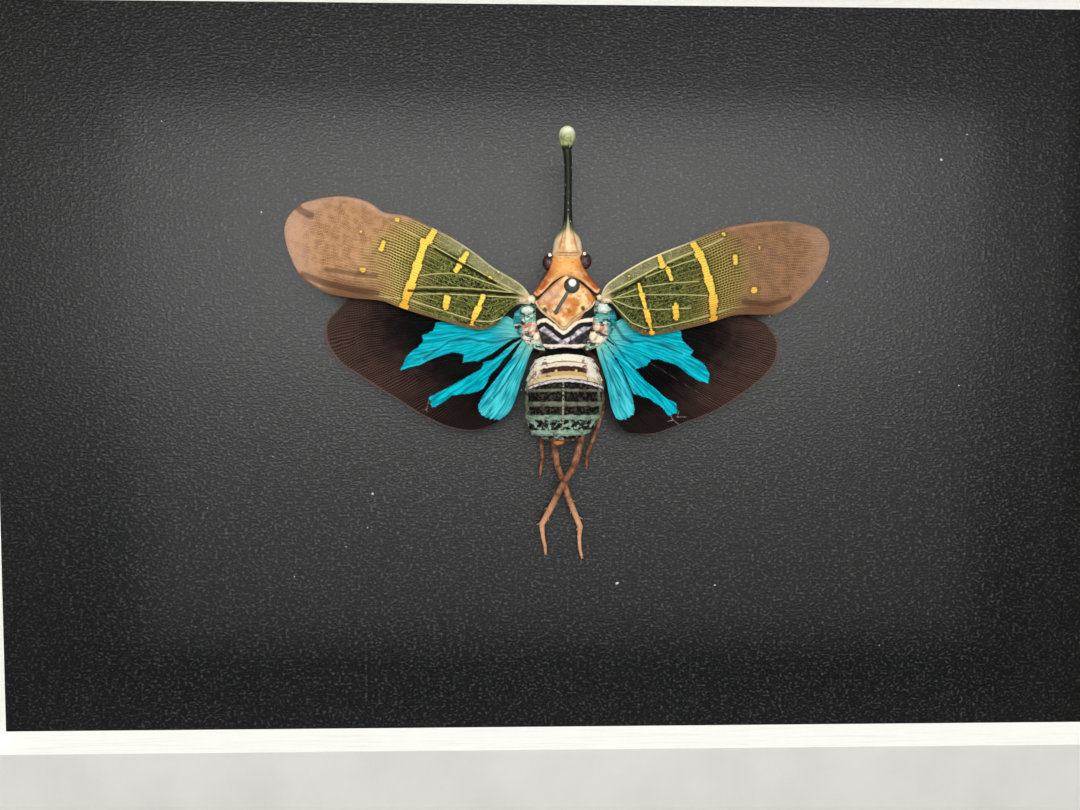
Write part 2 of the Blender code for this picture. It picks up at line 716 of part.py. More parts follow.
def make_frame():
    """The frame and everything in its stack. Returns the board that the insect is pinned to."""
    wood = finish("walnut", (0.14, 0.07, 0.035), 0.5)
    clear = finish("clear_pane", (1.0, 1.0, 1.0), 0.03, alpha=0.1)
    white_card = finish("white_card", (0.78, 0.79, 0.76), 0.8)
    foam = finish("foam_board", (0.85, 0.85, 0.83), 0.8)
    black_card = finish("black_card", (0.03, 0.03, 0.03), 0.85)
    hardboard = finish("hardboard", (0.25, 0.15, 0.08), 0.75)
    steel = finish("zinc_steel", (0.55, 0.55, 0.56), 0.35, metallic=1.0)
    rubber = finish("grey_rubber", (0.12, 0.12, 0.12), 0.8)
    rails = make_rails(wood)
    sheet("glazing_pane", PANE_FRONT, PANE_THICKNESS, clear)
    make_mat(white_card)
    make_spacers(foam)
    board = sheet("pinning_board", BOARD_FRONT, BOARD_THICKNESS, black_card)
    sheet("back_panel", BACK_FRONT, BACK_THICKNESS, hardboard)
    make_points(rails, steel)
    make_hanger(rails["top"], steel)
    make_bumpers(rubber)
    return board


def main():
    clear_scene()
    make_insect(make_frame())


main()
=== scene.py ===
"""The looks of a lanternfly that is pinned on black card in a wooden box frame.

Lengths are in millimetres unless a name or a docstring says otherwise. The insect is laid out as u to
the right and v up from the middle of the mat's window, and w out of the board towards the pane.
"""

import logging
import math
from dataclasses import dataclass, field
from enum import Enum

import bpy
import numpy as np
from mathutils import Matrix, Vector


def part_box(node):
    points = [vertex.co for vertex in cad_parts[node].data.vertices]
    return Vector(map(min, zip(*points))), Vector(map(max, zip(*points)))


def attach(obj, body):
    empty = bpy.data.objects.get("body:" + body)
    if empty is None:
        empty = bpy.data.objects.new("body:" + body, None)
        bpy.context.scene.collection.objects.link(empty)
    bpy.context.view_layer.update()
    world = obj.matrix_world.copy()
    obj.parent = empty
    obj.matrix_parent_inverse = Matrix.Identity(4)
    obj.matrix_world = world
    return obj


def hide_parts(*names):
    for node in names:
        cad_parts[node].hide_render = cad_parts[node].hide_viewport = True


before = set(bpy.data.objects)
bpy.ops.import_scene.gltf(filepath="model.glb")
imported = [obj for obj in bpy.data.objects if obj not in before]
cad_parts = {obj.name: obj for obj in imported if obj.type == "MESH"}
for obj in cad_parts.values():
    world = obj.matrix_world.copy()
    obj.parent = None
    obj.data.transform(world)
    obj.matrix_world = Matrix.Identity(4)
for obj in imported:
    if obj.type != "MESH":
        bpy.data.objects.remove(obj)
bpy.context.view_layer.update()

MM = 0.001
ROOT = "root"
BOARD_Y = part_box("pinning_board")[0][1]
MAT_LOW, MAT_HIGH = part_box("window_mat")
MAT_BACK_Y = MAT_HIGH[1]
WINDOW_Z = (MAT_LOW[2] + MAT_HIGH[2]) / 2

CUTICLE_SHEEN = {"Specular IOR Level": 0.15}

Colour = tuple[float, float, float]
Path = tuple[tuple[float, ...], ...]
log = logging.getLogger("lanternfly")


def tone(red: int, green: int, blue: int) -> Colour:
    """A colour as it looks on a screen, from 0 to 255, made linear.

    Args:
        red: The red part.
        green: The green part.
        blue: The blue part.

    Returns:
        The linear colour.
    """
    parts = [part / 255 for part in (red, green, blue)]
    return tuple(part / 12.92 if part <= 0.04045 else ((part + 0.055) / 1.055) ** 2.4 for part in parts)


def placed(points: np.ndarray) -> np.ndarray:
    """Turns points laid out as (u, v, w) into the frame's x, y, z in metres.

    Args:
        points: The points, one in each row.

    Returns:
        The same points in the frame.
    """
    u, v, w = np.asarray(points, float).T
    return np.stack([u * MM, BOARD_Y - w * MM, WINDOW_Z + v * MM], axis=1)


class Signal:
    """A socket of a material's nodes, wrapped so that shader maths reads as an expression."""

    def __init__(self, shader: "Shader", socket: bpy.types.NodeSocket) -> None:
        """Keeps the socket and the shader that it belongs to."""
        self.shader = shader
        self.socket = socket

    def _join(self, operation: str, first: object, second: object) -> "Signal":
        """Adds the node that an operator needs, by what its operands carry.

        Args:
            operation: The operation's name, which the three kinds of node share.
            first: A signal, a number or a colour.
            second: A signal, a number or a colour.

        Returns:
            The result.
        """
        kinds = {each.socket.type for each in (first, second) if isinstance(each, Signal)}
        if "RGBA" in kinds:
            settings = {"data_type": "RGBA", "blend_type": operation}
            return self.shader.node("ShaderNodeMix", settings, {0: 1.0, 6: first, 7: second}, 2)
        kind = "ShaderNodeVectorMath" if "VECTOR" in kinds else "ShaderNodeMath"
        return self.shader.node(kind, {"operation": operation}, {0: first, 1: second})

    def __add__(self, other: object) -> "Signal":
        """Adds."""
        return self._join("ADD", self, other)

    def __radd__(self, other: object) -> "Signal":
        """Adds, with the signal on the right."""
        return self._join("ADD", other, self)

    def __sub__(self, other: object) -> "Signal":
        """Subtracts."""
        return self._join("SUBTRACT", self, other)

    def __rsub__(self, other: object) -> "Signal":
        """Subtracts the signal from something."""
        return self._join("SUBTRACT", other, self)

    def __mul__(self, other: object) -> "Signal":
        """Multiplies."""
        return self._join("MULTIPLY", self, other)

    def __rmul__(self, other: object) -> "Signal":
        """Multiplies, with the signal on the right."""
        return self._join("MULTIPLY", other, self)

    def __truediv__(self, other: object) -> "Signal":
        """Divides."""
        return self._join("DIVIDE", self, other)

    def __rtruediv__(self, other: object) -> "Signal":
        """Divides something by the signal."""
        return self._join("DIVIDE", other, self)

    def __abs__(self) -> "Signal":
        """The size without its sign."""
        return self.math("ABSOLUTE")

    def math(self, operation: str, other: object = 0.0) -> "Signal":
        """Applies a Math node's operation to the value.

        Args:
            operation: The operation, such as FRACT or MAXIMUM.
            other: The second operand, where the operation has one.

        Returns:
            The result.
        """
        return self.shader.node("ShaderNodeMath", {"operation": operation}, {0: self, 1: other})

    def edge(self, low: float, high: float) -> "Signal":
        """A smooth step from 0 at low to 1 at high.

        Args:
            low: Where the step starts.
            high: Where it ends.

        Returns:
            The step.
        """
        settings = {"interpolation_type": "SMOOTHSTEP"}
        sockets = {"Value": self, "From Min": low, "From Max": high}
        return self.shader.node("ShaderNodeMapRange", settings, sockets)

    def part(self, axis: int) -> "Signal":
        """One part of a vector, 0 to 2."""
        return self.shader.node("ShaderNodeSeparateXYZ", None, {0: self}, axis)


class Shader:
    """The nodes of one material, around its Principled surface."""

    def __init__(self, name: str) -> None:
        """Starts a material with that name."""
        self.material = bpy.data.materials.new(name)
        self.material.use_nodes = True
        self.tree = self.material.node_tree
        self.surface = self.tree.nodes["Principled BSDF"]
        self._kept: dict[str, Signal] = {}

    def feed(self, socket: bpy.types.NodeSocket, value: object) -> None:
        """Links a signal to a socket, or sets the socket's own value.

        Args:
            socket: The input.
            value: A signal, a number or a tuple.
        """
        if isinstance(value, Signal):
            self.tree.links.new(value.socket, socket)
            return
        if socket.type == "RGBA":
            value = (value,) * 3 if isinstance(value, (int, float)) else value
            value = (*value, 1.0)[:4]
        elif socket.type == "VECTOR" and isinstance(value, (int, float)):
            value = (value,) * 3
        socket.default_value = value

    def node(
        self,
        kind: str,
        settings: dict[str, object] | None = None,
        sockets: dict[int | str, object] | None = None,
        output: int | str = 0,
    ) -> Signal:
        """Adds any node.

        Args:
            kind: The node's type.
            settings: The node's own settings, and a ramp's stops as (position, colour).
            sockets: Values or signals for its inputs.
            output: The output to use.

        Returns:
            The output as a signal.
        """
        made = self.tree.nodes.new(kind)
        for key, value in (settings or {}).items():
            if key != "stops":
                setattr(made, key, value)
                continue
            ramp = made.color_ramp
            while len(ramp.elements) < len(value):
                ramp.elements.new(1.0)
            for element, (position, colour) in zip(ramp.elements, value):
                element.position = position
                element.color = (*colour, 1.0)
        for key, value in (sockets or {}).items():
            self.feed(made.inputs[key], value)
        return Signal(self, made.outputs[output])

    def kept(self, name: str, kind: str, settings: dict[str, object] | None, output: int | str) -> Signal:
        """A node that is made once and then used again."""
        if name not in self._kept:
            self._kept[name] = self.node(kind, settings, None, output)
        return self._kept[name]

    def value(self, name: str) -> Signal:
        """A value that the mesh keeps on its points."""
        return self.kept(name, "ShaderNodeAttribute", {"attribute_name": name}, "Fac")

    def place(self) -> Signal:
        """The point on the object, in millimetres."""
        if "place" not in self._kept:
            self._kept["place"] = self.kept("object", "ShaderNodeTexCoord", None, "Object") * (1 / MM)
        return self._kept["place"]

    def facing(self) -> Signal:
        """The surface's own direction."""
        return self.kept("facing", "ShaderNodeNewGeometry", None, "True Normal")

    def u(self) -> Signal:
        """How far right of the window's middle."""
        return self.place().part(0)

    def v(self) -> Signal:
        """How far above the window's middle."""
        return self.place().part(2) - WINDOW_Z / MM

    def noise(self, scale: float, detail: float = 2.0, vector: Signal | None = None) -> Signal:
        """Soft noise from 0 to 1.

        Args:
            scale: Waves in a millimetre.
            detail: How many finer layers it has.
            vector: Where to read it, or the place on the object.

        Returns:
            The noise.
        """
        sockets = {"Vector": vector or self.place(), "Scale": scale, "Detail": detail}
        return self.node("ShaderNodeTexNoise", None, sockets)

    def cells(self, scale: float, feature: str, vector: Signal | None = None, output: str = "Distance") -> Signal:
        """A cell pattern.

        Args:
            scale: Cells in a millimetre.
            feature: F1 for the distance to a cell's point, DISTANCE_TO_EDGE for its walls.
            vector: Where to read it, or the place on the object.
            output: The output to use.

        Returns:
            The pattern.
        """
        sockets = {"Vector": vector or self.place(), "Scale": scale}
        return self.node("ShaderNodeTexVoronoi", {"feature": feature}, sockets, output)

    def random(self, vector: Signal) -> Signal:
        """A random value from 0 to 1 for each value of a signal."""
        return self.node("ShaderNodeTexWhiteNoise", {"noise_dimensions": "1D"}, {"W": vector})

    def mix(self, first: object, second: object, share: object) -> Signal:
        """Goes from the first colour to the second.

        Args:
            first: The colour where the share is 0.
            second: The colour where it is 1.
            share: The share.

        Returns:
            The colour.
        """
        return self.node("ShaderNodeMix", {"data_type": "RGBA"}, {0: share, 6: first, 7: second}, 2)

    def stretched(self, along: float, up: float, deep: float) -> Signal:
        """The place on the object with each axis scaled."""
        return self.place() * self.node("ShaderNodeCombineXYZ", None, {0: along, 1: deep, 2: up})

    def pair(self, first: object, second: object, third: object = 0.0) -> Signal:
        """A vector from two or three values."""
        return self.node("ShaderNodeCombineXYZ", None, {0: first, 1: second, 2: third})

    def ramp(self, value: Signal, stops: list[tuple[float, Colour]]) -> Signal:
        """Colours along a value, as (position, colour)."""
        return self.node("ShaderNodeValToRGB", {"stops": stops}, {0: value})

    def finish(
        self,
        colour: object,
        roughness: object,
        height: Signal | None = None,
        fixed: dict[str, object] | None = None,
    ) -> bpy.types.Material:
        """Feeds the surface.

        Args:
            colour: The base colour.
            roughness: The roughness.
            height: Relief in millimetres.
            fixed: Other inputs of the surface, each the same all over.

        Returns:
            The material.
        """
        self.feed(self.surface.inputs["Base Color"], colour)
        self.feed(self.surface.inputs["Roughness"], roughness)
        for key, value in (fixed or {}).items():
            self.feed(self.surface.inputs[key], value)
        if height is not None:
            bump = self.node("ShaderNodeBump", None, {"Distance": MM, "Height": height})
            self.feed(self.surface.inputs["Normal"], bump)
        return self.material


class Grain(Enum):
    """The way a rail's wood grain runs, as a scale for x, z and y."""

    LEVEL = (0.05, 1.0, 1.0)
    UPRIGHT = (1.0, 0.05, 1.0)


@dataclass(frozen=True)
class Walnut:
    """Oiled walnut, with its grain along the rail."""

    grain: Grain

    def material(self) -> bpy.types.Material:
        """Makes the material."""
        shader = Shader(f"walnut_{self.grain.name.lower()}")
        place = shader.stretched(*self.grain.value)
        figure = shader.noise(0.22, 4.0, place)
        streaks = shader.noise(1.6, 3.0, place)
        pores = shader.noise(7.0, 1.0, place).edge(0.60, 0.70)
        stops = [(0.30, tone(58, 34, 21)), (0.47, tone(98, 61, 38)), (0.58, tone(121, 79, 50)), (0.72, tone(76, 46, 29))]
        colour = shader.ramp(figure * 0.65 + streaks * 0.35, stops)
        colour = shader.mix(colour, tone(38, 22, 14), pores * 0.55)
        roughness = 0.36 + streaks * 0.16 + pores * 0.15
        return shader.finish(colour, roughness, streaks * 0.03 - pores * 0.05, {"Coat Weight": 0.12})


@dataclass(frozen=True)
class ClearPane:
    """Clear, coated glass, thin enough to leave the colours behind it alone."""

    alpha: float = 0.03

    def material(self) -> bpy.types.Material:
        """Makes the material."""
        shader = Shader("clear_pane")
        smears = shader.noise(0.02, 0.0)
        fixed = {"Alpha": self.alpha, "Specular IOR Level": 0.1}
        return shader.finish(tone(20, 26, 24), 0.02 + smears * 0.04, None, fixed)


@dataclass(frozen=True)
class MatCard:
    """Mount card: a pale grey face with a fine tooth, and a white core where the window is cut."""

    face: Colour = tone(206, 206, 202)
    core: Colour = tone(247, 247, 241)

    def material(self) -> bpy.types.Material:
        """Makes the material."""
        shader = Shader("mat_card")
        cut = 1.0 - abs(shader.facing().part(1)).edge(0.80, 0.90)
        cloud = shader.noise(0.12, 4.0)
        tooth = shader.noise(5.0, 3.0)
        layers = shader.noise(1.0, 2.0, shader.stretched(0.15, 0.15, 9.0))
        face = shader.mix(self.face, tone(192, 192, 189), cloud.edge(0.35, 0.75) * 0.5 + tooth * 0.25)
        core = shader.mix(self.core, tone(226, 228, 224), layers.edge(0.5, 0.75) * 0.5)
        return shader.finish(shader.mix(face, core, cut), 0.85, tooth * 0.03 + cloud * 0.02)


@dataclass(frozen=True)
class BlackCard:
    """Black card with a soft sheen and a fine, fibrous tooth."""

    colour: Colour = tone(8, 9, 9)
    tooth_height: float = 0.05

    def material(self) -> bpy.types.Material:
        """Makes the material."""
        shader = Shader("black_card")
        tooth = shader.noise(2.6, 1.0, shader.stretched(0.8, 1.2, 1.0))
        colour = shader.mix(self.colour, tone(74, 75, 75), tooth.edge(0.5, 0.8) * 0.9)
        height = tooth * self.tooth_height
        return shader.finish(colour, 0.31 + tooth * 0.08, height, {"Specular IOR Level": 0.38})


@dataclass(frozen=True)
class FoamBoard:
    """White foam board: smooth paper outside and open foam on its cut sides."""

    def material(self) -> bpy.types.Material:
        """Makes the material."""
        shader = Shader("foam_board")
        cut = abs(shader.facing().part(1)).edge(0.4, 0.6)
        foam = shader.cells(2.2, "F1")
        colour = shader.mix(tone(236, 236, 232), tone(214, 215, 210), foam * cut)
        return shader.finish(colour, 0.8, foam * cut * 0.12)


@dataclass(frozen=True)
class Hardboard:
    """Brown hardboard with pressed fibres."""

    def material(self) -> bpy.types.Material:
        """Makes the material."""
        shader = Shader("hardboard")
        fibre = shader.noise(1.1, 4.0, shader.stretched(0.5, 1.6, 1.0))
        flecks = shader.noise(4.0, 2.0)
        stops = [(0.32, tone(92, 62, 40)), (0.5, tone(124, 88, 60)), (0.68, tone(152, 116, 84))]
        colour = shader.ramp(fibre * 0.7 + flecks * 0.3, stops)
        return shader.finish(colour, 0.62 + flecks * 0.2, fibre * 0.06 + flecks * 0.03)


@dataclass(frozen=True)
class ZincSteel:
    """Bright zinc on pressed steel, a little cloudy."""

    colour: Colour = tone(186, 188, 192)
    name: str = "zinc_steel"

    def material(self) -> bpy.types.Material:
        """Makes the material."""
        shader = Shader(self.name)
        cloud = shader.noise(0.6, 3.0)
        rub = shader.noise(5.0, 2.0, shader.stretched(0.3, 2.0, 1.0))
        colour = shader.mix(self.colour, tone(128, 131, 138), cloud.edge(0.4, 0.8) * 0.6)
        return shader.finish(colour, 0.26 + rub * 0.22, rub * 0.01, {"Metallic": 1.0})


@dataclass(frozen=True)
class Rubber:
    """Dark grey rubber with a dusty skin."""

    def material(self) -> bpy.types.Material:
        """Makes the material."""
        shader = Shader("rubber")
        dust = shader.noise(2.5, 3.0)
        return shader.finish(shader.mix(tone(52, 52, 54), tone(92, 92, 92), dust), 0.75 + dust * 0.15, dust * 0.04)


class Venation:
    """The vein pattern of a wing's finish, from the wing's own coordinates on the mesh."""

    def __init__(self, shader: Shader) -> None:
        """Reads the coordinates: a share along and across, and the width in millimetres."""
        self.shader = shader
        self.along = shader.value("along")
        self.across = shader.value("across")
        self.chord = shader.value("chord")
        self.reach = shader.value("reach")
        self.wander = shader.noise(0.35, 1.0) - 0.5
        self.lane = self.across + self.wander * 0.035

    def row(self, count: int) -> Signal:
        """A random value for each gap between the long veins."""
        return self.shader.random((self.lane * count).math("FLOOR") + 0.5)

    def long_veins(self, count: int, half_width: float, start: float, soft: float = 0.06) -> Signal:
        """Evenly fanned veins, each of which starts a little sooner or later than the next.

        Args:
            count: How many there are across the wing.
            half_width: Half of a vein's width.
            start: The share of the length where they start.
            soft: The width of their soft edge.

        Returns:
            The mask, 1 on a vein.
        """
        phase = self.lane * count
        number = (phase + 0.5).math("FLOOR")
        offset = 0.5 - abs(phase.math("FRACT") - 0.5)
        line = 1.0 - (offset * self.chord * (1 / count)).edge(half_width, half_width + soft)
        late = self.shader.random(number) * 0.16
        return line * (self.along - late).edge(start - 0.08, start - 0.05)

    def cross_veins(self, count: int, spacing: float, half_width: float) -> Signal:
        """Short veins across each gap between the long ones, like courses of brick.

        Args:
            count: How many gaps there are across the wing.
            spacing: The distance between two of them along the wing.
            half_width: Half of a vein's width.

        Returns:
            The mask, 1 on a vein.
        """
        phase = self.reach * (1 / spacing) + self.row(count) + self.wander
        offset = (0.5 - abs(phase.math("FRACT") - 0.5)) * spacing
        return 1.0 - offset.edge(half_width, half_width + 0.05)

    def net(self, scale: float, half_width: float) -> Signal:
        """An irregular net of small cells.

        Args:
            scale: Cells in a millimetre.
            half_width: Half of a wall's width, as a share of a cell.

        Returns:
            The mask, 1 on a wall.
        """
        place = self.shader.pair(self.reach * 0.9 + self.wander, self.across * self.chord * 1.15 + self.wander)
        walls = self.shader.cells(scale, "DISTANCE_TO_EDGE", place)
        return 1.0 - walls.edge(half_width, half_width + 0.12)

    def line(self, name: str, half_width: float, soft: float = 0.08) -> Signal:
        """The veins or creases that are drawn one by one, from their distance on the mesh."""
        return 1.0 - self.shader.value(name).edge(half_width, half_width + soft)


@dataclass(frozen=True)
class ForewingMembrane:
    """Green, olive and brown wing membrane with pale veins and yellow marks.

    The gain that lifts the green half is painted light, making one wing look more lit than the other; dusk and dust are
    the outer half's dark and light brown, rosy is how pale its outer margin gets, cream_costa how pale its front edge
    is and gilt how golden its veins are.
    """

    name: str
    painted_light_gain: float = 1.0
    dusk: Colour = tone(112, 76, 46)
    dust: Colour = tone(160, 118, 80)
    rosy: float = 0.5
    cream_costa: float = 0.8
    gilt: float = 0.9

    def material(self) -> bpy.types.Material:
        """Makes the material."""
        shader = Shader(self.name)
        veins = Venation(shader)
        along, across, chord = veins.along, veins.across, veins.chord
        front_gap, rear_gap = across * chord, (1.0 - across) * chord
        zone = along + veins.wander * 0.14 + (0.5 - across) * 0.06
        olive = zone.edge(0.36, 0.58)
        brown = zone.edge(0.56, 0.72)
        patch = shader.noise(0.9, 2.0)
        fine = shader.noise(4.5, 1.0)

        # The membrane between the veins
        green = shader.mix(tone(20, 28, 2), tone(60, 68, 12), patch.edge(0.35, 0.7))
        green = shader.mix(green, tone(14, 20, 2), veins.line("shade", 0.0, 0.4) * 0.8)
        costal = (1.0 - front_gap.edge(1.5, 2.1)) * (1.0 - along.edge(0.55, 0.75))
        green = shader.mix(green, tone(152, 146, 114), costal * (0.25 + patch * 0.6))
        membrane = shader.mix(green, tone(66, 58, 10), olive)
        membrane = shader.mix(membrane, shader.mix(self.dusk, self.dust, patch.edge(0.35, 0.65)), brown)
        rear_shade = (1.0 - rear_gap.edge(1.0, 3.6)) * brown * (1.0 - along.edge(0.8, 0.95))
        membrane = shader.mix(membrane, tone(66, 38, 22), rear_shade * 0.85)
        core = (1.0 - along.edge(0.12, 0.40)) * (1.0 - costal)
        membrane = shader.mix(membrane, tone(16, 22, 0), core * 0.45)

        # Veins, finer and closer towards the tip
        basal = veins.long_veins(9, 0.025, 0.0, 0.04)
        middle = veins.long_veins(18, 0.03, 0.26, 0.04)
        outer = veins.long_veins(36, 0.035, 0.38, 0.04)
        tip = veins.long_veins(72, 0.03, 0.58, 0.04)
        fan = basal.math("MAXIMUM", middle * 0.85).math("MAXIMUM", outer * olive)
        net = veins.net(2.1, 0.03) * (1.0 - olive)
        gauze = veins.cross_veins(54, 0.30, 0.03) * brown * 0.6
        rungs = veins.cross_veins(36, 0.45, 0.03) * olive * (1.0 - brown) * 0.5
        pale = shader.mix(tone(146, 148, 82), tone(226, 198, 122), olive)
        pale = shader.mix(pale, shader.mix(self.dust, tone(226, 184, 146), 0.45), brown)
        mesh = (net * (0.1 + fine * 0.6)).math("MAXIMUM", gauze).math("MAXIMUM", rungs)
        mesh = mesh.math("MAXIMUM", tip * brown * 0.8)
        colour = shader.mix(membrane, pale, mesh * (0.4 + fine * 0.5))
        speckle = shader.noise(3.4, 1.0).edge(0.56, 0.66) * (1.0 - olive)
        colour = shader.mix(colour, tone(170, 170, 112), speckle * (0.3 + costal * 0.4))
        colour = shader.mix(colour, pale, fan * (0.55 + olive * 0.35 - brown * 0.35) * self.gilt)
        drawn = veins.line("vein", 0.03, 0.09)
        colour = shader.mix(colour, shader.mix(tone(206, 198, 134), pale, brown), drawn * (0.75 - brown * 0.4))

        colour = shader.mix(colour, tone(92, 56, 36), rear_shade * 0.6)

        # The outer margin, paler and rosy, and painted shade along a crease or two, which the mesh also dents
        front_rim = (1.0 - front_gap.edge(0.3, 1.5)) * along.edge(0.5, 0.7)
        margin = along.edge(0.84, 0.99).math("MAXIMUM", front_rim) * self.rosy
        colour = shader.mix(colour, tone(206, 168, 146), margin * (0.4 + fine * 0.6))
        crease = veins.line("crease", 0.10, 0.35) * (0.6 + fine * 0.4)
        colour = shader.mix(colour, tone(70, 44, 30), crease * 0.75)

        # Yellow marks, stepped where they cross the veins, deeper where they near the rear edge
        step = (veins.row(18) - 0.5) * 0.26
        ragged = shader.value("mark") + step + (fine - 0.5) * 0.30
        mark = 1.0 - ragged.edge(-0.14, -0.02)
        halo = (1.0 - ragged.edge(0.0, 0.45)) * (1.0 - mark) * (1.0 - brown * 0.6)
        yellow = shader.mix(tone(240, 206, 86), tone(226, 156, 44), across.edge(0.6, 1.0) * 0.7 + fine * 0.25)
        colour = shader.mix(colour, tone(30, 28, 4), halo * 0.5)
        colour = shader.mix(colour, shader.mix(yellow, tone(140, 108, 30), fan * 0.45), mark)

        # Edges: a pale costa near the root that browns outwards, and a brown rim behind the rear vein
        costa = 1.0 - front_gap.edge(0.16, 0.32)
        costa_tone = shader.mix(tone(226, 216, 168), tone(120, 84, 58), along.edge(0.32, 0.6))
        colour = shader.mix(colour, costa_tone, costa * self.cream_costa)
        rim = (1.0 - rear_gap.edge(0.35, 0.6)) * along.edge(0.12, 0.3)
        colour = shader.mix(colour, tone(112, 80, 52), rim * 0.7 * (1.0 - mark))
        # Painted shade along the furrow, which the mesh also dents.
        furrow = veins.line("furrow", 0.10, 0.16)
        colour = shader.mix(colour, tone(16, 16, 4), furrow * 0.9)
        root = 1.0 - along.edge(0.015, 0.07)
        colour = shader.mix(colour, tone(214, 196, 150), root * 0.8)
        # Painted light: everything outside the brown zone is brightened by the gain.
        painted_light_lift = 1.0 + (self.painted_light_gain - 1.0) * (1.0 - brown)
        height = fan * 0.04 + drawn * 0.05 + patch * 0.04
        return shader.finish(colour * painted_light_lift, 0.5 + fine * 0.2, height, {"Specular IOR Level": 0.04})


@dataclass(frozen=True)
class HindwingMembrane:
    """Black, pleated membrane with turquoise lobes at its root and a smoky, finely ribbed outer half."""

    name: str

    def material(self) -> bpy.types.Material:
        """Makes the material."""
        shader = Shader(self.name)
        veins = Venation(shader)
        along, across = veins.along, veins.across
        patch = shader.noise(0.8, 2.0)
        fine = shader.noise(5.0, 1.0)
        ribs = veins.long_veins(22, 0.04, 0.0).math("MAXIMUM", veins.long_veins(44, 0.035, 0.35) * 0.8)
        hairs = veins.long_veins(88, 0.03, 0.56, 0.05)
        gauze = veins.cross_veins(88, 0.4, 0.035) * along.edge(0.6, 0.75)

        smoke = (along + (patch - 0.5) * 0.2).edge(0.60, 0.98) * (1.0 - across.edge(0.45, 0.8) * 0.75)
        dark = shader.mix(tone(5, 5, 6), shader.mix(tone(32, 20, 17), tone(50, 34, 30), patch), smoke)
        lines = (ribs * 0.8).math("MAXIMUM", hairs * 0.75).math("MAXIMUM", gauze * 0.3)
        dark = shader.mix(dark, tone(130, 102, 94), lines * (0.02 + smoke * 0.42))
        scratch = veins.line("scratch", 0.03, 0.08) * fine.edge(0.35, 0.5)
        dark = shader.mix(dark, tone(170, 158, 150), scratch * 0.6)

        # The lobes end in ragged fingers between the ribs
        fingers = shader.noise(1.0, 1.0, shader.pair(veins.reach * 0.25, across * 34.0)) - 0.5
        ragged = shader.value("lobe") + fingers * (0.9 * along) + (fine - 0.5) * 0.30
        lobe = 1.0 - ragged.edge(-0.07, 0.07)
        streak = shader.noise(1.0, 2.0, shader.pair(veins.reach * 0.35, across * 40.0))
        blue = shader.mix(tone(0, 138, 156), tone(8, 190, 208), streak.edge(0.32, 0.62))
        blue = shader.mix(blue, tone(0, 104, 118), ribs * 0.4)
        anal = across.edge(0.76, 0.86)
        pearl = shader.mix(tone(20, 140, 152), tone(84, 214, 224), streak.edge(0.35, 0.65))
        blue = shader.mix(blue, pearl, anal * 0.8)
        inner = 1.0 - along.edge(0.08, 0.26)
        blue = shader.mix(blue, tone(128, 206, 188), inner * 0.6)
        # Painted shade along each crease and a painted highlight beside it, where the mesh dents the folds.
        blue = shader.mix(blue, tone(0, 64, 76), veins.line("crease", 0.02, 0.16) * 0.65)
        blue = shader.mix(blue, tone(120, 226, 232), (1.0 - abs(shader.value("crease") - 0.34).edge(0.02, 0.16)) * 0.12)
        colour = shader.mix(dark, blue, lobe)

        # A thin pale margin, and the cream of the wing's hinge
        rim = along.edge(0.982, 0.994)
        colour = shader.mix(colour, tone(110, 92, 86), rim * 0.6)
        root = 1.0 - along.edge(0.02, 0.09)
        colour = shader.mix(colour, tone(190, 210, 190), root * 0.8)
        height = ribs * 0.05 + hairs * 0.02 + patch * 0.05 + streak * lobe * 0.05
        return shader.finish(colour, 0.5 + fine * 0.2, height, {"Specular IOR Level": 0.015})


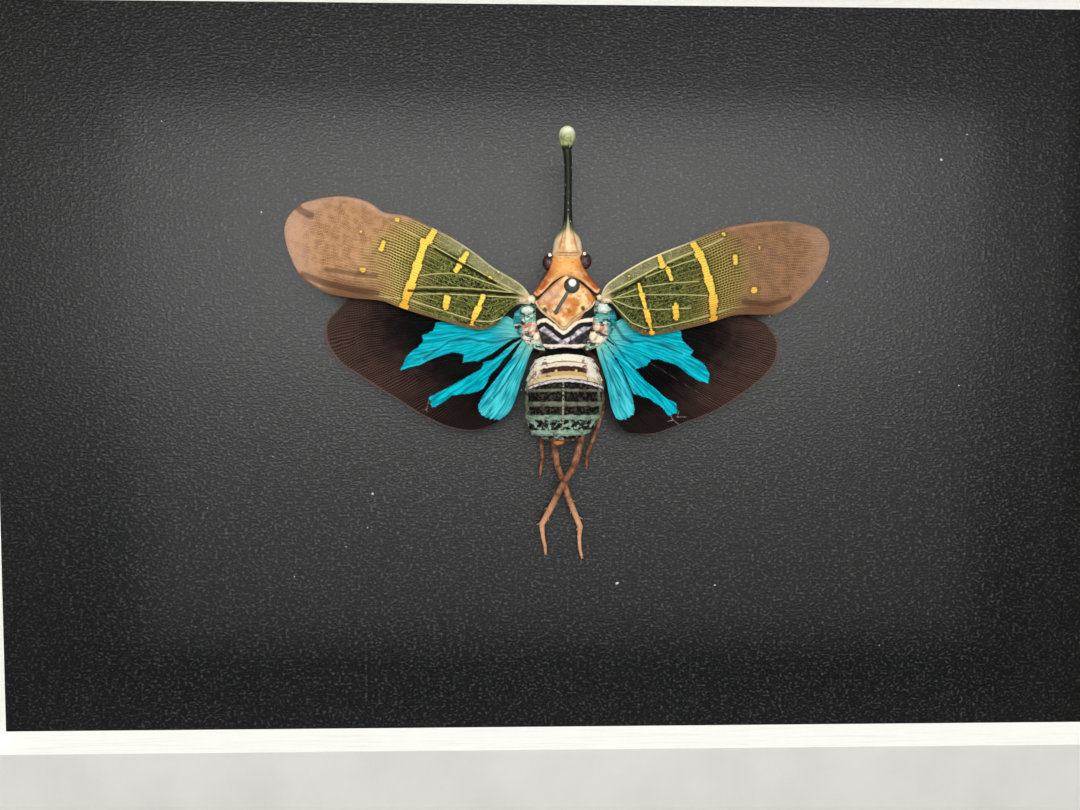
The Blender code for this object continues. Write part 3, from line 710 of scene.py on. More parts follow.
@dataclass(frozen=True)
class HeadCuticle:
    """The head's tan and cream with painted shade in two creases, the snout's glossy green-black and the bulb's waxy
    yellow-green with a painted whitish highlight.
    """

    bulb_from: float = 29.4

    def material(self) -> bpy.types.Material:
        """Makes the material."""
        shader = Shader("head_cuticle")
        u, v = shader.u(), shader.v()
        patch = shader.noise(1.3, 2.0)
        grain = shader.noise(6.0, 2.0)
        side = abs(u - 0.1)
        share = side * (1.0 / (2.05 - (v - 16.4).math("MAXIMUM", 0.0).math("MINIMUM", 3.2) * 0.42))
        tan = shader.mix(tone(206, 154, 102), tone(232, 198, 152), patch.edge(0.3, 0.7))
        cream = (1.0 - share.edge(0.12, 0.26)).math("MAXIMUM", share.edge(0.62, 0.76)) * v.edge(15.8, 16.6)
        tan = shader.mix(tan, tone(246, 226, 184), cream * (0.45 + patch * 0.4))
        seam = (1.0 - abs(share - 0.56).edge(0.02, 0.10)) * v.edge(15.9, 16.5)
        tan = shader.mix(tan, tone(128, 84, 40), seam * 0.6)
        # Painted shade in two arcs behind the head, beside the groove that the mesh dents there.
        for arc in (15.45, 15.8):
            crease = (1.0 - abs(v - arc - side * side * 0.05).edge(0.03, 0.14)) * (1.0 - side.edge(1.0, 1.7))
            tan = shader.mix(tan, tone(140, 84, 38), crease * 0.6)

        moss = shader.mix(tone(92, 92, 62), tone(24, 30, 19), v.edge(18.9, 20.4))
        snout = shader.mix(moss, tone(52, 60, 46), grain.edge(0.5, 0.8) * 0.6)
        dots = 1.0 - shader.cells(1.5, "F1").edge(0.10, 0.16)
        snout = shader.mix(snout, tone(220, 226, 214), dots * 0.7)
        stripe = (1.0 - (side + (v - 18.9) * 0.12).edge(0.10, 0.36)) * (1.0 - v.edge(20.2, 21.8))
        snout = shader.mix(snout, tone(196, 198, 170), stripe * (0.2 + grain * 0.8))
        colour = shader.mix(tan, snout, (v + (patch - 0.5) * 0.8 + side * 0.5).edge(18.2, 19.5))

        bulb = shader.mix(tone(128, 138, 88), tone(190, 198, 146), patch.edge(0.3, 0.7))
        ridges = shader.noise(1.0, 1.0, shader.stretched(5.0, 0.3, 5.0))
        bulb = shader.mix(bulb, tone(96, 106, 66), ridges.edge(0.5, 0.7) * (1.0 - v.edge(30.6, 31.4)) * 0.7)
        # Painted highlight: the bulb whitens towards its outer end.
        bulb = shader.mix(bulb, tone(240, 242, 210), v.edge(30.4, 31.6) * 0.75)
        colour = shader.mix(colour, bulb, (v + (grain - 0.5) * 0.5).edge(self.bulb_from, self.bulb_from + 0.4))
        shine = v.edge(18.6, 19.4) * (1.0 - v.edge(29.4, 29.9))
        return shader.finish(colour, 0.46 - shine * 0.2, grain * 0.03 + patch * 0.03 + dots * shine * 0.04, CUTICLE_SHEEN)


@dataclass(frozen=True)
class EyeCornea:
    """Dark maroon, finely faceted."""

    def material(self) -> bpy.types.Material:
        """Makes the material."""
        shader = Shader("eye_cornea")
        facets = shader.cells(14.0, "F1")
        patch = shader.noise(1.5, 2.0)
        colour = shader.mix(tone(34, 12, 10), tone(96, 44, 34), patch.edge(0.4, 0.75))
        return shader.finish(colour, 0.22, facets * -0.02, {"Coat Weight": 0.4})


@dataclass(frozen=True)
class MottledCuticle:
    """A satin cuticle in two tones with darker specks.

    base and light are its two tones, speck is its speckle and amount how much of it there is.
    """

    name: str
    base: Colour
    light: Colour
    speck: Colour
    amount: float = 0.4
    scale: float = 1.0
    roughness: float = 0.42

    def material(self) -> bpy.types.Material:
        """Makes the material."""
        shader = Shader(self.name)
        patch = shader.noise(0.9 * self.scale, 4.0)
        grain = shader.noise(5.0 * self.scale, 3.0)
        specks = shader.noise(2.2 * self.scale, 4.0).edge(0.56, 0.72)
        colour = shader.mix(self.base, self.light, patch.edge(0.32, 0.68))
        colour = shader.mix(colour, self.speck, specks * self.amount)
        return shader.finish(colour, self.roughness + grain * 0.15, grain * 0.04 + patch * 0.08)


@dataclass(frozen=True)
class PronotumCuticle:
    """Bright orange collar, paler in the middle, with freckles and a painted shadow line along its rear edge, where it
    lies over the shield.
    """

    def material(self) -> bpy.types.Material:
        """Makes the material."""
        shader = Shader("pronotum_cuticle")
        patch, grain = shader.noise(0.8, 3.0), shader.noise(5.0, 2.0)
        freckles = shader.noise(2.6, 2.0).edge(0.58, 0.68)
        side = abs(shader.u() + 0.1)
        orange = shader.mix(tone(246, 176, 98), tone(162, 68, 10), side.edge(0.6, 3.0) * 0.85 + patch * 0.15)
        orange = shader.mix(orange, tone(252, 206, 140), (patch - 0.45).edge(0.0, 0.25) * 0.55)
        orange = shader.mix(orange, tone(132, 60, 18), freckles * 0.45)
        rear, rim = shader.value("rear"), shader.value("border")
        colour = shader.mix(orange, tone(246, 200, 150), (1.0 - abs(rear - 0.34).edge(0.06, 0.2)) * 0.55)
        # Painted shadow: a near-black line along the rear edge, where the collar overhangs the shield.
        colour = shader.mix(colour, tone(28, 16, 12), 1.0 - rear.edge(0.10, 0.20))
        colour = shader.mix(colour, tone(120, 60, 26), (1.0 - rim.edge(0.05, 0.22)) * 0.5)
        return shader.finish(colour, 0.42 + grain * 0.15, grain * 0.05 + patch * 0.10, CUTICLE_SHEEN)


@dataclass(frozen=True)
class MesonotumCuticle:
    """Orange-tan shield with a lilac-grey bloom on its upper left, dark spots, a pale rim and painted shadow under the
    collar's rear edge.
    """

    spots: Path = ((-3.0, 8.3), (2.1, 8.5), (-1.5, 7.9))

    def material(self) -> bpy.types.Material:
        """Makes the material."""
        shader = Shader("mesonotum_cuticle")
        u, v = shader.u(), shader.v()
        patch, grain = shader.noise(0.7, 3.0), shader.noise(5.0, 2.0)
        stains = shader.noise(1.3, 3.0)
        tan = shader.mix(tone(214, 132, 64), tone(252, 214, 152), patch.edge(0.38, 0.60))
        bloom = (1.0 - (u + 0.2).edge(-1.4, 0.2)) * v.edge(8.2, 10.2) * stains.edge(0.34, 0.54)
        tan = shader.mix(tan, tone(190, 148, 132), bloom * 0.65)
        rust = stains.edge(0.53, 0.66) * (1.0 - bloom)
        tan = shader.mix(tan, tone(150, 76, 30), rust * 0.6)
        pink = shader.noise(1.0, 2.0, shader.stretched(0.7, 1.6, 1.0)).edge(0.52, 0.64)
        tan = shader.mix(tan, tone(226, 168, 146), pink * 0.35)
        for spot_u, spot_v in self.spots:
            away = ((u - spot_u) * (u - spot_u) + (v - spot_v) * (v - spot_v)).math("SQRT")
            tan = shader.mix(tan, tone(52, 20, 10), (1.0 - (away + (grain - 0.5) * 0.5).edge(0.14, 0.46)) * 0.92)
        rim = shader.value("border")
        colour = shader.mix(tan, tone(120, 70, 36), (1.0 - abs(rim - 0.30).edge(0.03, 0.12)) * 0.55)
        colour = shader.mix(colour, tone(236, 200, 156), 1.0 - rim.edge(0.16, 0.22))
        # Painted shadow: dark along the top border, under the collar's rear edge.
        top = v.edge(9.3, 9.7)
        colour = shader.mix(colour, tone(30, 16, 12), (1.0 - rim.edge(0.10, 0.30)) * top)
        return shader.finish(colour, 0.44 + grain * 0.15, grain * 0.05 + patch * 0.12 + stains * 0.06, CUTICLE_SHEEN)


@dataclass(frozen=True)
class MetanotumCuticle:
    """A cream chevron, then black, then lilac-white branches between black blocks, and a pale rear edge."""

    def material(self) -> bpy.types.Material:
        """Makes the material."""
        shader = Shader("metanotum_cuticle")
        jag = (shader.noise(1.8, 2.0) - 0.5) * 0.42
        below = shader.value("below") + jag
        grain, streak = shader.noise(4.0, 2.0), shader.noise(1.6, 3.0)
        u, v = shader.u(), shader.v()
        side = abs(u + 0.45)
        black, lilac, white = tone(12, 10, 10), tone(140, 128, 136), tone(234, 224, 200)
        colour = shader.mix(white, shader.mix(white, tone(176, 150, 110), grain), below.edge(0.08, 0.2))
        colour = shader.mix(colour, black, below.edge(0.21, 0.31))
        under = (v + jag - (5.2 + side * 0.62 - side * side * 0.05)).edge(-0.02, 0.10)
        colour = shader.mix(colour, black, under * below.edge(0.21, 0.31))
        wing = (1.0 - under) * below.edge(0.80, 0.95)
        branch = shader.mix(lilac, tone(216, 206, 212), streak.edge(0.44, 0.58))
        colour = shader.mix(colour, branch, wing)
        block = (1.0 - (v - 3.5 - side * 0.62).edge(0.0, 0.35)) * v.edge(3.45, 3.75) * side.edge(0.45, 0.75)
        colour = shader.mix(colour, shader.mix(black, tone(70, 62, 66), streak.edge(0.54, 0.66)), block * wing * 0.97)
        colour = shader.mix(colour, white, (1.0 - abs(v - 3.55 + jag).edge(0.10, 0.24)) * 0.9)
        return shader.finish(colour, 0.45 + grain * 0.2, grain * 0.06 + streak * 0.14, CUTICLE_SHEEN)


@dataclass(frozen=True)
class AbdomenCuticle:
    """Cream and brown at its waist, then black segments with grey-green rims and a waxy, tan end."""

    rims: Path = ((-2.45, 0.10), (-4.3, 0.22), (-6.15, 0.26), (-8.3, 0.32))

    def material(self) -> bpy.types.Material:
        """Makes the material."""
        shader = Shader("abdomen_cuticle")
        u, v = shader.u(), shader.v()
        grain, patch = shader.noise(4.5, 2.0), shader.noise(1.1, 3.0)
        jag = (shader.noise(1.8, 2.0) - 0.5) * 0.5
        level = v + u * u * 0.040 + jag * 0.6
        side = abs(u + 0.4)
        black, cream = tone(12, 10, 8), tone(234, 226, 208)
        stops = (
            (3.05, black),
            (2.42, cream),
            (1.52, tone(116, 90, 72)),
            (1.38, tone(222, 208, 182)),
            (0.84, tone(60, 34, 32)),
            (0.14, tone(190, 162, 106)),
            (-0.40, tone(208, 190, 148)),
            (-0.84, tone(90, 70, 52)),
            (-0.96, tone(206, 200, 204)),
            (-1.28, black),
        )
        colour = black
        for start, band in stops:
            colour = shader.mix(colour, band, 1.0 - level.edge(start - 0.08, start + 0.03))
        notch = (1.0 - abs(abs(u + 0.1) - 1.35).edge(0.08, 0.24)) * level.edge(0.05, 0.12) * (1.0 - level.edge(0.3, 0.5))
        colour = shader.mix(colour, tone(214, 188, 120), notch)
        flank = side.edge(2.7, 3.5) * (1.0 - level.edge(1.9, 2.4)) * level.edge(-0.5, -0.2)
        colour = shader.mix(colour, shader.mix(cream, tone(150, 112, 92), patch.edge(0.5, 0.62)), flank * 0.9)

        stains = shader.noise(1.2, 3.0).edge(0.57, 0.64) * level.edge(-1.2, -1.0) * (1.0 - level.edge(2.2, 2.5))
        colour = shader.mix(colour, tone(104, 72, 62), stains * (0.35 + side.edge(1.2, 2.6) * 0.5))

        rear = 1.0 - v.edge(-1.5, -1.2)
        ash = shader.noise(2.6, 3.0)
        colour = shader.mix(colour, tone(64, 58, 50), rear * ash.edge(0.47, 0.62) * 0.8)
        hue = shader.mix(tone(116, 118, 102), tone(150, 178, 156), 1.0 - v.edge(-7.2, -4.0))
        for rim, half in self.rims:
            line = 1.0 - abs(v - rim + jag * 0.8 + u * u * 0.004).edge(half, half + 0.16)
            colour = shader.mix(colour, hue, line * (0.45 + patch.edge(0.38, 0.55) * 0.5) * (0.6 + grain * 0.5))
        middle = (1.0 - abs(u + 0.5 + jag * 0.3).edge(0.05, 0.18)) * rear * v.edge(-8.0, -7.4)
        colour = shader.mix(colour, tone(164, 158, 140), middle * grain.edge(0.35, 0.6) * 0.9)
        edge = (side + jag).edge(4.4, 5.0) * rear
        colour = shader.mix(colour, tone(120, 130, 108), edge * patch.edge(0.42, 0.55) * 0.7)
        wax = (1.0 - v.edge(-7.4, -5.4)) * shader.noise(1.5, 3.0).edge(0.48, 0.60)
        colour = shader.mix(colour, shader.mix(tone(110, 150, 130), tone(176, 206, 186), grain), wax * 0.85)
        tip = 1.0 - v.edge(-9.5, -9.0)
        colour = shader.mix(colour, shader.mix(tone(150, 82, 40), tone(86, 60, 44), patch), tip)
        return shader.finish(colour, 0.42 + grain * 0.25, grain * 0.08 + patch * 0.16 + ash * 0.10, {"Specular IOR Level": 0.05})


@dataclass(frozen=True)
class RootCuticle:
    """The folded skin at the wings' roots: mint above, pink in the middle, cream below, teal outwards, with painted
    shade in the gaps and along the seams of its folds.
    """

    def material(self) -> bpy.types.Material:
        """Makes the material."""
        shader = Shader("root_cuticle")
        u, v = shader.u(), shader.v()
        fold = shader.noise(0.9, 3.0, shader.stretched(0.55, 1.5, 1.0))
        patch, grain = shader.noise(1.5, 3.0), shader.noise(5.0, 2.0)
        level = v + (fold - 0.5) * 1.6 + abs(u + 0.2) * 0.12 - 0.6
        cream = shader.mix(tone(206, 196, 168), tone(244, 240, 222), grain)
        pink = shader.mix(tone(190, 128, 104), tone(238, 218, 196), patch.edge(0.42, 0.58))
        mint = shader.mix(tone(92, 176, 164), tone(212, 230, 216), fold.edge(0.42, 0.58))
        colour = shader.mix(cream, pink, level.edge(4.8, 5.3))
        colour = shader.mix(colour, mint, level.edge(6.3, 6.9))
        colour = shader.mix(colour, tone(112, 190, 172), (1.0 - level.edge(3.3, 4.2)) * 0.6)
        colour = shader.mix(colour, tone(20, 140, 150), abs(u + 0.2).edge(5.3, 6.3) * fold.edge(0.35, 0.5))
        # Painted shade: dark in the gaps between folds and along their seams.
        gap_shade = shader.noise(1.3, 2.0, shader.stretched(0.7, 1.7, 1.0)).edge(0.56, 0.63)
        colour = shader.mix(colour, tone(26, 22, 18), gap_shade * 0.9)
        seam_shade = 1.0 - abs(fold - 0.5).edge(0.006, 0.03)
        colour = shader.mix(colour, tone(40, 52, 48), seam_shade * 0.7)
        return shader.finish(colour, 0.45 + grain * 0.2, fold * 0.6 + patch * 0.2 - gap_shade * 0.2, CUTICLE_SHEEN)


@dataclass(frozen=True)
class LegCuticle:
    """Tan-brown legs, rough with short bristles, darker at their joints."""

    def material(self) -> bpy.types.Material:
        """Makes the material."""
        shader = Shader("leg_cuticle")
        grain = shader.noise(5.0, 3.0)
        patch = shader.noise(0.9, 3.0)
        colour = shader.mix(tone(118, 74, 50), tone(176, 122, 90), patch.edge(0.3, 0.7))
        colour = shader.mix(colour, tone(62, 36, 22), shader.value("joint") * 0.8)
        colour = shader.mix(colour, tone(92, 58, 38), grain.edge(0.52, 0.66) * 0.6)
        pale = 1.0 - shader.v().edge(-22.0, -16.0)
        colour = shader.mix(colour, tone(222, 166, 128), pale * (0.6 + patch * 0.4))
        return shader.finish(colour, 0.45 + grain * 0.2, grain * 0.07, CUTICLE_SHEEN)


def solid_grid(rows: int, columns: int, closed: bool) -> list[tuple[int, ...]]:
    """Faces between rows of points.

    Args:
        rows: How many rows of points there are.
        columns: How many points each has.
        closed: Whether each row's end joins its start.

    Returns:
        The faces.
    """
    width = columns if closed else columns - 1
    row, column = np.meshgrid(np.arange(rows - 1), np.arange(width), indexing="ij")
    start, after = row * columns + column, row * columns + (column + 1) % columns
    corners = np.stack([start, after, after + columns, start + columns], axis=-1)
    return [tuple(face) for face in corners.reshape(-1, 4).tolist()]


@dataclass
class Shell:
    """A closed surface: points as (u, v, w), faces, a material and values kept on its points."""

    points: np.ndarray
    faces: list[tuple[int, ...]]
    material: bpy.types.Material
    values: dict[str, np.ndarray] = field(default_factory=dict)

    def outward(self) -> list[tuple[int, ...]]:
        """The faces, turned so that the surface holds a positive volume."""
        places = placed(self.points)
        quads = [(face[0], face[step], face[step + 1]) for face in self.faces for step in range(1, len(face) - 1)]
        corners = places[np.array(quads)]
        volume = np.einsum("ij,ij->i", corners[:, 0], np.cross(corners[:, 1], corners[:, 2])).sum()
        return self.faces if volume > 0 else [face[::-1] for face in self.faces]


def assemble(name: str, shells: list[Shell], replaces: tuple[str, ...] = ()) -> bpy.types.Object:
    """Joins shells into one smooth piece that rides on the frame.

    Args:
        name: The piece's name.
        shells: Its surfaces.
        replaces: The solids that it stands for.

    Returns:
        The piece.
    """
    points, faces, materials, indices = [], [], [], []
    names = sorted({key for shell in shells for key in shell.values})
    values = {key: [] for key in names}
    start = 0
    for shell in shells:
        if shell.material not in materials:
            materials.append(shell.material)
        turned = shell.outward()
        points.append(placed(shell.points))
        faces += [tuple(corner + start for corner in face) for face in turned]
        indices += [materials.index(shell.material)] * len(turned)
        for key in names:
            values[key].append(shell.values.get(key, np.zeros(len(shell.points))))
        start += len(shell.points)
    mesh = bpy.data.meshes.new(name)
    mesh.from_pydata(np.vstack(points).tolist(), [], faces)
    for material in materials:
        mesh.materials.append(material)
    mesh.polygons.foreach_set("material_index", indices)
    for key in names:
        kept = mesh.attributes.new(key, "FLOAT", "POINT")
        kept.data.foreach_set("value", np.concatenate(values[key]).astype(np.float32))
    mesh.shade_smooth()
    piece = bpy.data.objects.new(name, mesh)
    bpy.context.collection.objects.link(piece)
    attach(piece, ROOT)
    if replaces:
        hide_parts(*replaces)
    return piece


def smooth_curve(points: Path, count: int) -> np.ndarray:
    """Points evenly spaced by length along the smooth curve through the given ones.

    Args:
        points: The points that the curve goes through.
        count: How many points to return.

    Returns:
        The points, one in each row.
    """
    given = np.asarray(points, float)
    padded = np.vstack([2 * given[0] - given[1], given, 2 * given[-1] - given[-2]])
    t = np.linspace(0, 1, 24, endpoint=False)[:, None]
    runs = []
    for a, b, c, d in zip(padded, padded[1:], padded[2:], padded[3:]):
        cubic = 2 * b + (c - a) * t + (2 * a - 5 * b + 4 * c - d) * t**2 + (3 * b - a - 3 * c + d) * t**3
        runs.append(cubic / 2)
    fine = np.vstack(runs + [given[-1:]])
    length = np.concatenate([[0.0], np.cumsum(np.linalg.norm(np.diff(fine, axis=0), axis=1))])
    at = np.linspace(0, length[-1], count)
    return np.stack([np.interp(at, length, column) for column in fine.T], axis=1)


def patch_between(front: Path, outer: Path, rear: Path, rows: int, columns: int) -> np.ndarray:
    """A grid inside four edges, blended from them so that its lines follow their shapes.

    Args:
        front: The edge from the root's start outwards.
        outer: The points between the ends of the front and the rear edge.
        rear: The edge from the root's end outwards.
        rows: How many rows of points there are from root to outer edge.
        columns: How many points there are from front to rear.

    Returns:
        The grid, as rows of columns of (u, v).
    """
    s = np.linspace(0, 1, rows)[:, None, None]
    t = np.linspace(0, 1, columns)[None, :, None]
    first, last = smooth_curve(front, rows)[:, None], smooth_curve(rear, rows)[:, None]
    root = np.linspace(front[0], rear[0], columns)[None]
    rim = smooth_curve((front[-1], *outer, rear[-1]), columns)[None]
    corners = (1 - s) * ((1 - t) * first[:1] + t * last[:1]) + s * ((1 - t) * first[-1:] + t * last[-1:])
    return (1 - t) * first + t * last + (1 - s) * root + s * rim - corners


def ripple(points: np.ndarray, wavelength: float, seed: int) -> np.ndarray:
    """Smooth, uneven waves from -1 to 1, the same in each run.

    Args:
        points: Where to read them, in (u, v).
        wavelength: The distance between two crests, about.
        seed: Picks the directions.

    Returns:
        One height for each point.
    """
    chosen = np.random.default_rng(seed)
    total = np.zeros(points.shape[:-1])
    for _ in range(6):
        turn, shift = chosen.uniform(0, 2 * math.pi, 2)
        size = 2 * math.pi / (wavelength * chosen.uniform(0.6, 1.5))
        total += np.sin(size * (points[..., 0] * math.cos(turn) + points[..., 1] * math.sin(turn)) + shift)
    return total / 6


def distance_to_path(points: np.ndarray, path: Path) -> np.ndarray:
    """How far each point is from a line of straight runs.

    Args:
        points: The points, with (u, v) last.
        path: The line's corners, or one point.

    Returns:
        One distance for each point.
    """
    if len(path) == 1:
        path = path * 2
    best = np.full(points.shape[:-1], np.inf)
    for start, end in zip(np.asarray(path[:-1], float), np.asarray(path[1:], float)):
        run = end - start
        share = ((points - start) @ run) / max(run @ run, 1e-9)
        nearest = start + np.clip(share, 0, 1)[..., None] * run
        best = np.minimum(best, np.linalg.norm(points - nearest, axis=-1))
    return best


def inside(points: np.ndarray, outline: Path) -> np.ndarray:
    """Whether each point is inside a closed outline."""
    corners = np.asarray(outline, float)
    found = np.zeros(points.shape[:-1], bool)
    for (u0, v0), (u1, v1) in zip(corners, np.roll(corners, -1, axis=0)):
        spans = (v0 > points[..., 1]) != (v1 > points[..., 1])
        rise = np.where(v1 == v0, 1.0, v1 - v0)
        found ^= spans & (points[..., 0] < (u1 - u0) * (points[..., 1] - v0) / rise + u0)
    return found


@dataclass(frozen=True)
class Mark:
    """A mark on a wing: a stroke along a path, or a point, and half of its width."""

    path: Path
    half_width: float


def strokes_field(points: np.ndarray, marks: tuple[Mark, ...]) -> np.ndarray:
    """The distance to the nearest stroke's edge, negative inside it."""
    fields = [distance_to_path(points, mark.path) - mark.half_width for mark in marks]
    return np.minimum.reduce(fields)


def outlines_field(points: np.ndarray, outlines: tuple[Path, ...]) -> np.ndarray:
    """The distance to the nearest outline, negative inside one."""
    fields = []
    for outline in outlines:
        away = distance_to_path(points, (*outline, outline[0]))
        fields.append(np.where(inside(points, outline), -away, away))
    return np.minimum.reduce(fields)


@dataclass(frozen=True)
class WingShape:
    """A wing's four edges, and its height above the board at its root, middle and outer edge."""

    front: Path
    outer: Path
    rear: Path
    heights: tuple[float, float, float]
    camber: float
    rows: int
    columns: int
    thickness: float = 0.24

    def coordinates(self) -> tuple[np.ndarray, np.ndarray, np.ndarray]:
        """The grid and each point's share along and across.

        Returns:
            The grid of (u, v), the shares along and the shares across.
        """
        flat = patch_between(self.front, self.outer, self.rear, self.rows, self.columns)
        along = np.repeat(np.linspace(0, 1, self.rows)[:, None], self.columns, axis=1)
        across = np.repeat(np.linspace(0, 1, self.columns)[None], self.rows, axis=0)
        return flat, along, across

    def measures(self, flat: np.ndarray) -> tuple[np.ndarray, np.ndarray]:
        """The wing's width at each row, and each point's distance from the root.

        Args:
            flat: The grid of (u, v).

        Returns:
            The widths and the distances, one for each point.
        """
        steps = np.linalg.norm(np.diff(flat, axis=1), axis=2).sum(axis=1)
        chord = np.repeat(steps[:, None], self.columns, axis=1)
        out = np.linalg.norm(np.diff(flat, axis=0), axis=2)
        reach = np.concatenate([np.zeros((1, self.columns)), np.cumsum(out, axis=0)])
        return chord, reach

    def base_height(self, along: np.ndarray, across: np.ndarray) -> np.ndarray:
        """The height of the smooth, cambered surface."""
        dome = self.camber * np.sin(math.pi * across) * np.sin(math.pi * along)
        return np.interp(along, (0, 0.5, 1), self.heights) + dome

    def shell(self, flat: np.ndarray, height: np.ndarray, thickness: np.ndarray, values: dict[str, np.ndarray], material: bpy.types.Material) -> Shell:
        """Closes the surface into a thin sheet.

        Args:
            flat: The grid of (u, v).
            height: The height of each point.
            thickness: The sheet's thickness at each point.
            values: What the finish reads.
            material: The finish.

        Returns:
            The sheet.
        """
        top = np.concatenate([flat, (height + thickness / 2)[..., None]], axis=2).reshape(-1, 3)
        bottom = np.concatenate([flat, (height - thickness / 2)[..., None]], axis=2).reshape(-1, 3)
        rows, columns = height.shape
        under = rows * columns
        faces = solid_grid(rows, columns, closed=False)
        faces += [tuple(under + corner for corner in reversed(face)) for face in faces]
        rim = list(range(columns))
        rim += [row * columns + columns - 1 for row in range(1, rows)]
        rim += [(rows - 1) * columns + column for column in range(columns - 2, -1, -1)]
        rim += [row * columns for row in range(rows - 2, 0, -1)]
        faces += [(start, under + start, under + end, end) for start, end in zip(rim, rim[1:] + rim[:1])]
        doubled = {key: np.tile(value.reshape(-1), 2) for key, value in values.items()}
        return Shell(np.vstack([top, bottom]), faces, material, doubled)


@dataclass(frozen=True)
class Forewing:
    """A forewing with its yellow marks, the veins that stand out, its furrow and its creases."""

    name: str
    shape: WingShape
    marks: tuple[Mark, ...]
    membrane: ForewingMembrane
    veins: tuple[Mark, ...]
    furrow: tuple[Mark, ...]
    shade: tuple[Mark, ...]
    creases: tuple[Mark, ...]
    vein_height: float = 0.07
    furrow_depth: float = 0.22
    corrugation: float = 0.05
    corrugations: int = 9
    sag: float = 0.22
    seed: int = 1

    def build(self) -> bpy.types.Object:
        """Builds and dresses the wing."""
        flat, along, across = self.shape.coordinates()
        chord, reach = self.shape.measures(flat)
        drawn = {"mark": self.marks, "vein": self.veins, "furrow": self.furrow, "shade": self.shade, "crease": self.creases}
        values = {name: strokes_field(flat, strokes) for name, strokes in drawn.items()}
        height = self.shape.base_height(along, across)
        height += self.vein_height * np.exp(-((values["vein"] / 0.14) ** 2)) * (1 - 0.6 * along)
        height += self.corrugation * np.cos(2 * math.pi * across * self.corrugations) * np.sin(math.pi * along)
        height += self.sag * ripple(flat, 9.0, self.seed) * np.clip(along * 2, 0, 1)
        height -= self.furrow_depth * np.exp(-((np.maximum(values["furrow"], 0) / 0.25) ** 2))
        height -= 0.18 * np.exp(-((np.maximum(values["crease"], 0) / 0.4) ** 2))
        height -= 0.5 * np.clip((along - 0.85) / 0.15, 0, 1) ** 2
        front_gap = across * chord
        thickness = self.shape.thickness + 0.35 * np.exp(-((front_gap / 0.25) ** 2)) * (1 - along) ** 0.5
        edge = np.minimum.reduce([front_gap + 0.35, (1 - across) * chord, (1 - along) * 33 + 0.02])
        thickness = thickness * np.clip(0.35 + edge / 0.5, 0.35, 1)
        values |= {"along": along, "across": across, "chord": chord, "reach": reach}
        shell = self.shape.shell(flat, height, thickness, values, self.membrane.material())
        return assemble(self.name, [shell], (self.name,))


@dataclass(frozen=True)
class Hindwing:
    """A pleated hindwing with turquoise lobes, the folds across them and a few scratches."""

    name: str
    shape: WingShape
    lobes: tuple[Path, ...]
    membrane: HindwingMembrane
    creases: tuple[Mark, ...]
    scratches: tuple[Mark, ...]
    pleats: int = 11
    pleat_height: float = 0.22
    seed: int = 3

    def build(self) -> bpy.types.Object:
        """Builds and dresses the wing."""
        flat, along, across = self.shape.coordinates()
        chord, reach = self.shape.measures(flat)
        values = {"crease": strokes_field(flat, self.creases), "scratch": strokes_field(flat, self.scratches)}
        values |= {"lobe": outlines_field(flat, self.lobes), "along": along, "across": across}
        values |= {"chord": chord, "reach": reach}
        height = self.shape.base_height(along, across)
        phase = across * self.pleats + 0.15 * ripple(flat, 12.0, self.seed + 5)
        fold = 1 - 2 * np.abs(2 * (phase - np.floor(phase)) - 1)
        height += self.pleat_height * fold * np.clip(2.2 * along, 0, 1) * (1 - 0.45 * along)
        height += 0.22 * ripple(flat, 7.0, self.seed) * along
        height -= 0.25 * np.exp(-((np.maximum(values["crease"], 0) / 0.3) ** 2))
        fine = across * self.pleats * 4
        height += 0.03 * np.cos(2 * math.pi * fine) * np.clip(3 * along - 1, 0, 1)
        edge = np.minimum.reduce([(1 - across) * chord + 0.1, (1 - along) * 26 + 0.02])
        thickness = self.shape.thickness * np.clip(0.35 + edge / 0.5, 0.35, 1)
        shell = self.shape.shell(flat, height, thickness, values, self.membrane.material())
        return assemble(self.name, [shell], (self.name,))


@dataclass(frozen=True)
class Station:
    """A cross-section of the body: v, its middle u and w, and its half width and half height."""

    v: float
    u: float
    w: float
    half_width: float
    half_height: float


def stations_loft(
    stations: tuple[Station, ...], rings: int, sides: int, material: bpy.types.Material, relief: object = None
) -> Shell:
    """A smooth closed body through its stations.

    Args:
        stations: The cross-sections.
        rings: How many rings of points it gets.
        sides: How many points each ring has.
        material: Its finish.
        relief: A function of each point's v and angle, or None, that returns how far out it moves.

    Returns:
        The body.
    """
    table = np.array([[s.v, s.u, s.w, s.half_width, s.half_height] for s in stations])
    knots = np.concatenate([[0.0], np.cumsum(np.linalg.norm(np.diff(table[:, [0, 3]], axis=0), axis=1))])
    fine = smooth_curve(tuple(map(tuple, np.column_stack([table, knots]))), rings)
    turns = np.linspace(0, 2 * math.pi, sides, endpoint=False)[None]
    v = np.repeat(fine[:, :1], sides, axis=1)
    half_width, half_height = np.maximum(fine[:, 3:4], 0.02), np.maximum(fine[:, 4:5], 0.02)
    extra = relief(v, np.repeat(turns, rings, axis=0)) if relief else 0.0
    u = fine[:, 1:2] + (half_width + extra) * np.cos(turns)
    w = fine[:, 2:3] + (half_height + extra) * np.sin(turns)
    points = np.stack([u, v, w], axis=2).reshape(-1, 3)
    faces = solid_grid(rings, sides, closed=True)
    faces += [tuple(range(sides))[::-1], tuple((rings - 1) * sides + side for side in range(sides))]
    return Shell(points, faces, material)


